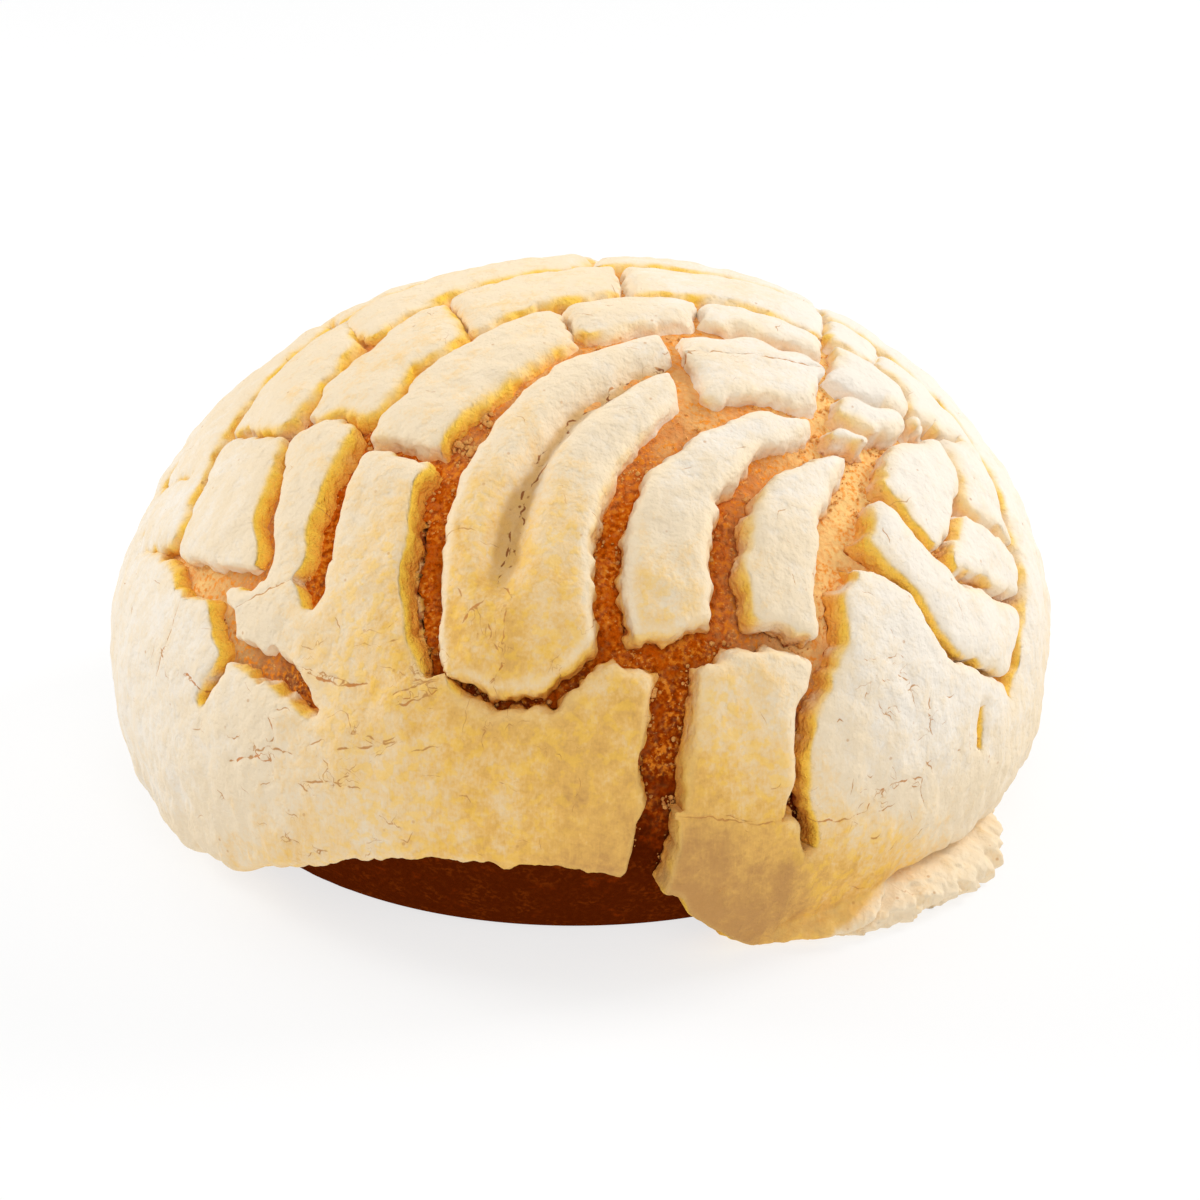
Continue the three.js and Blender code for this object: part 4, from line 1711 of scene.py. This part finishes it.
@dataclass
class Crumbs:
    """Crumbs that broke off the walls of the plates and lie on the bread beside them."""

    dome: Dome
    bun: Bun
    material: bpy.types.Material
    count: int = 5200
    smallest: float = 0.12
    largest: float = 0.36
    reach: float = 0.9
    lowest: float = 9.0
    smallest_heaped: float = 0.2
    largest_heaped: float = 0.48
    heaps: tuple[Heap, ...] = (
        Heap(9.8, -65.7, 0.9, 26),
        Heap(-15.6, -30.6, 1.6, 26),
        Heap(-14.0, -26.0, 1.4, 16),
        Heap(-8.0, -11.6, 1.2, 14),
        Heap(-43.0, -38.0, 0.9, 10),
        Heap(3.0, -36.0, 0.8, 10),
    )
    seed: int = 23

    def build(self, feet: np.ndarray) -> bpy.types.Object:
        """Strews the crumbs.

        Args:
            feet: the feet of the walls, as rows of a spot on the sheet and the way the wall faces.

        Returns:
            All the crumbs as one mesh.
        """
        rng = np.random.default_rng(self.seed)
        feet = feet[rng.choice(len(feet), self.count)]
        size = self.smallest + (self.largest - self.smallest) * rng.random(self.count) ** 5
        out = size + self.reach * rng.random(self.count) ** 2
        sheet = feet[:, :3] + np.c_[unit(feet[:, 3:5]) * out[:, None], np.zeros(self.count)]
        sheet[:, 2] = -self.dome.seat
        place = self.dome.bend(sheet)
        sheet[:, 2] += self.bun.swollen(place) + size * 0.55
        sheet, size = self._heaped(sheet, size, rng)
        place = self.dome.bend(sheet)
        kept = (place[:, 2] > self.lowest) & (Grain(self.seed).at(place, 6.0) > 0.0)
        kept[self.count :] = True
        tint = np.clip(rng.random(len(size)) * 1.6 - 0.15, 0.0, 1.0)
        tint[self.count :] = 0.0
        pale = np.maximum(smoothstep(34.0, 52.0, place[:, 2]), smoothstep(2.0, 16.0, place[:, 0]))
        tint *= 1.0 - 0.95 * pale
        return self._joined(place[kept], size[kept], tint[kept], rng)

    def _heaped(
        self, sheet: np.ndarray, size: np.ndarray, rng: np.random.Generator
    ) -> tuple[np.ndarray, np.ndarray]:
        """Adds the pale crumbs that lie in small heaps.

        Args:
            sheet: the spots of the others.
            size: their sizes.
            rng: what the heaps are drawn by.

        Returns:
            All the spots and all the sizes.
        """
        for heap in self.heaps:
            flat = np.array((heap.u, heap.v)) + rng.normal(size=(heap.count, 2)) * heap.spread * 0.6
            sizes = rng.uniform(self.smallest_heaped, self.largest_heaped, heap.count)
            spots = np.c_[flat, np.full(heap.count, -self.dome.seat)]
            spots[:, 2] += self.bun.swollen(self.dome.bend(spots)) + sizes * 0.7
            sheet, size = np.vstack([sheet, spots]), np.r_[size, sizes]
        return sheet, size

    def _joined(
        self, place: np.ndarray, size: np.ndarray, tint: np.ndarray, rng: np.random.Generator
    ) -> bpy.types.Object:
        """Makes one mesh of a rough little ball at each place.

        Args:
            place: rows of x, y, z.
            size: the radius of each ball.
            tint: how toasted each is.
            rng: what they are roughened by.

        Returns:
            The mesh.
        """
        ball = bmesh.new()
        bmesh.ops.create_icosphere(ball, subdivisions=1, radius=1.0)
        corners = np.array([corner.co[:] for corner in ball.verts])
        facets = np.array([[corner.index for corner in facet.verts] for facet in ball.faces])
        ball.free()
        number, each = len(place), len(corners)
        rough = 1.0 + rng.uniform(-0.3, 0.3, (number, each, 1))
        stretch = rng.uniform(0.7, 1.25, (number, 1, 3))
        points = place[:, None, :] + corners[None] * rough * stretch * size[:, None, None]
        faces = facets[None] + (np.arange(number) * each)[:, None, None]
        fine = Fine(points.reshape(-1, 3), faces.reshape(-1, 3))
        made = fine.to_object("crumbs", {"tint": np.repeat(tint, each)})
        made.data.materials.append(self.material)
        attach(made, "root")
        return made


@dataclass(frozen=True)
class Softbox:
    """A square light: where it hangs and its side, in mm, and its power in watts."""

    name: str
    place: tuple[float, float, float]
    side: float
    power: float


@dataclass
class Studio:
    """A pale floor, soft light from behind on both sides, and the camera."""

    aim: tuple[float, float, float] = (3.1, 1.9, 23.2)
    pivot: tuple[float, float, float] = (0.6, 0.0, 19.0)
    elevation: float = 24.0
    distance: float = 600.0
    lens: float = 139.9
    softboxes: tuple[Softbox, ...] = (
        Softbox("top", (0.0, 80.0, 620.0), 500.0, 0.83),
        Softbox("left", (-540.0, 200.0, 330.0), 260.0, 1.88),
        Softbox("right", (540.0, 240.0, 400.0), 260.0, 2.6),
        Softbox("front", (60.0, -620.0, 450.0), 400.0, 1.42),
    )
    lit_height: float = 25.0
    ambient: float = 0.38
    floor_half: float = 4.0
    white: Colour = (1.0, 1.0, 1.0, 1.0)
    paper: Colour = (0.24, 0.24, 0.24, 1.0)
    glow: float = 0.74

    def build(self) -> None:
        """Sets the stage."""
        self._floor()
        self._camera()
        for softbox in self.softboxes:
            self._hang(softbox)
        world = bpy.data.worlds.new("studio")
        world.use_nodes = True
        background = world.node_tree.nodes["Background"]
        background.inputs["Color"].default_value = self.white
        background.inputs["Strength"].default_value = self.ambient
        bpy.context.scene.world = world
        bpy.context.scene.view_settings.view_transform = "Standard"

    def _floor(self) -> None:
        """Lays the floor."""
        far = self.floor_half
        mesh = bpy.data.meshes.new("floor")
        corners = [(-far, -far, 0), (far, -far, 0), (far, far, 0), (-far, far, 0)]
        mesh.from_pydata(corners, [], [(0, 1, 2, 3)])
        floor = bpy.data.objects.new("floor", mesh)
        bpy.context.scene.collection.objects.link(floor)
        paper = {"Base Color": self.paper, "Roughness": 0.9, "Specular IOR Level": 0.1}
        paper |= {"Emission Color": self.white, "Emission Strength": self.glow}
        mesh.materials.append(Graph("floor").finish(paper))

    def _camera(self) -> None:
        """Places the camera."""
        data = bpy.data.cameras.new("camera")
        data.lens = self.lens
        camera = bpy.data.objects.new("camera", data)
        tilt = math.radians(self.elevation)
        back = Vector((0.0, -math.cos(tilt), math.sin(tilt)))
        camera.location = (Vector(self.pivot) + back * self.distance) * MM
        self._turn(camera, Vector(self.aim))
        bpy.context.scene.camera = camera

    def _hang(self, softbox: Softbox) -> None:
        """Hangs one light, aimed at the bun.

        Args:
            softbox: which one.
        """
        data = bpy.data.lights.new(softbox.name, "AREA")
        data.size = softbox.side * MM
        data.energy = softbox.power
        lamp = bpy.data.objects.new(softbox.name, data)
        lamp.location = Vector(softbox.place) * MM
        self._turn(lamp, Vector((0.0, 0.0, self.lit_height)))

    def _turn(self, thing: bpy.types.Object, aim: Vector) -> None:
        """Links a light or the camera to the scene, turned towards a place.

        Args:
            thing: the light or the camera.
            aim: the place, in mm.
        """
        away = aim * MM - thing.location
        thing.rotation_euler = away.to_track_quat("-Z", "Y").to_euler()
        bpy.context.scene.collection.objects.link(thing)


def report(piece: bpy.types.Object) -> None:
    """Logs a piece's name and size."""
    log.info("%s: %d faces", piece.name, len(piece.data.polygons))


def main() -> None:
    """Builds the concha and its stage, in order."""
    logging.basicConfig(level=logging.INFO, format="%(message)s")
    dome = Dome()
    bun = Bun(dome, CrustFinish().material())
    report(bun.build())
    hair = HairCracks()
    hair.build()
    log.info("hair cracks: %d", len(hair.lines))
    layout = Layout(dome)
    topping = Topping(layout, hair, Browning(layout), PasteFinish().material())
    topping.build(frame["nodes"])
    for piece in topping.pieces:
        report(piece)
    report(Crumbs(dome, bun, CrumbFinish().material()).build(np.concatenate(topping.feet)))
    Studio().build()


if __name__ == "__main__":
    main()
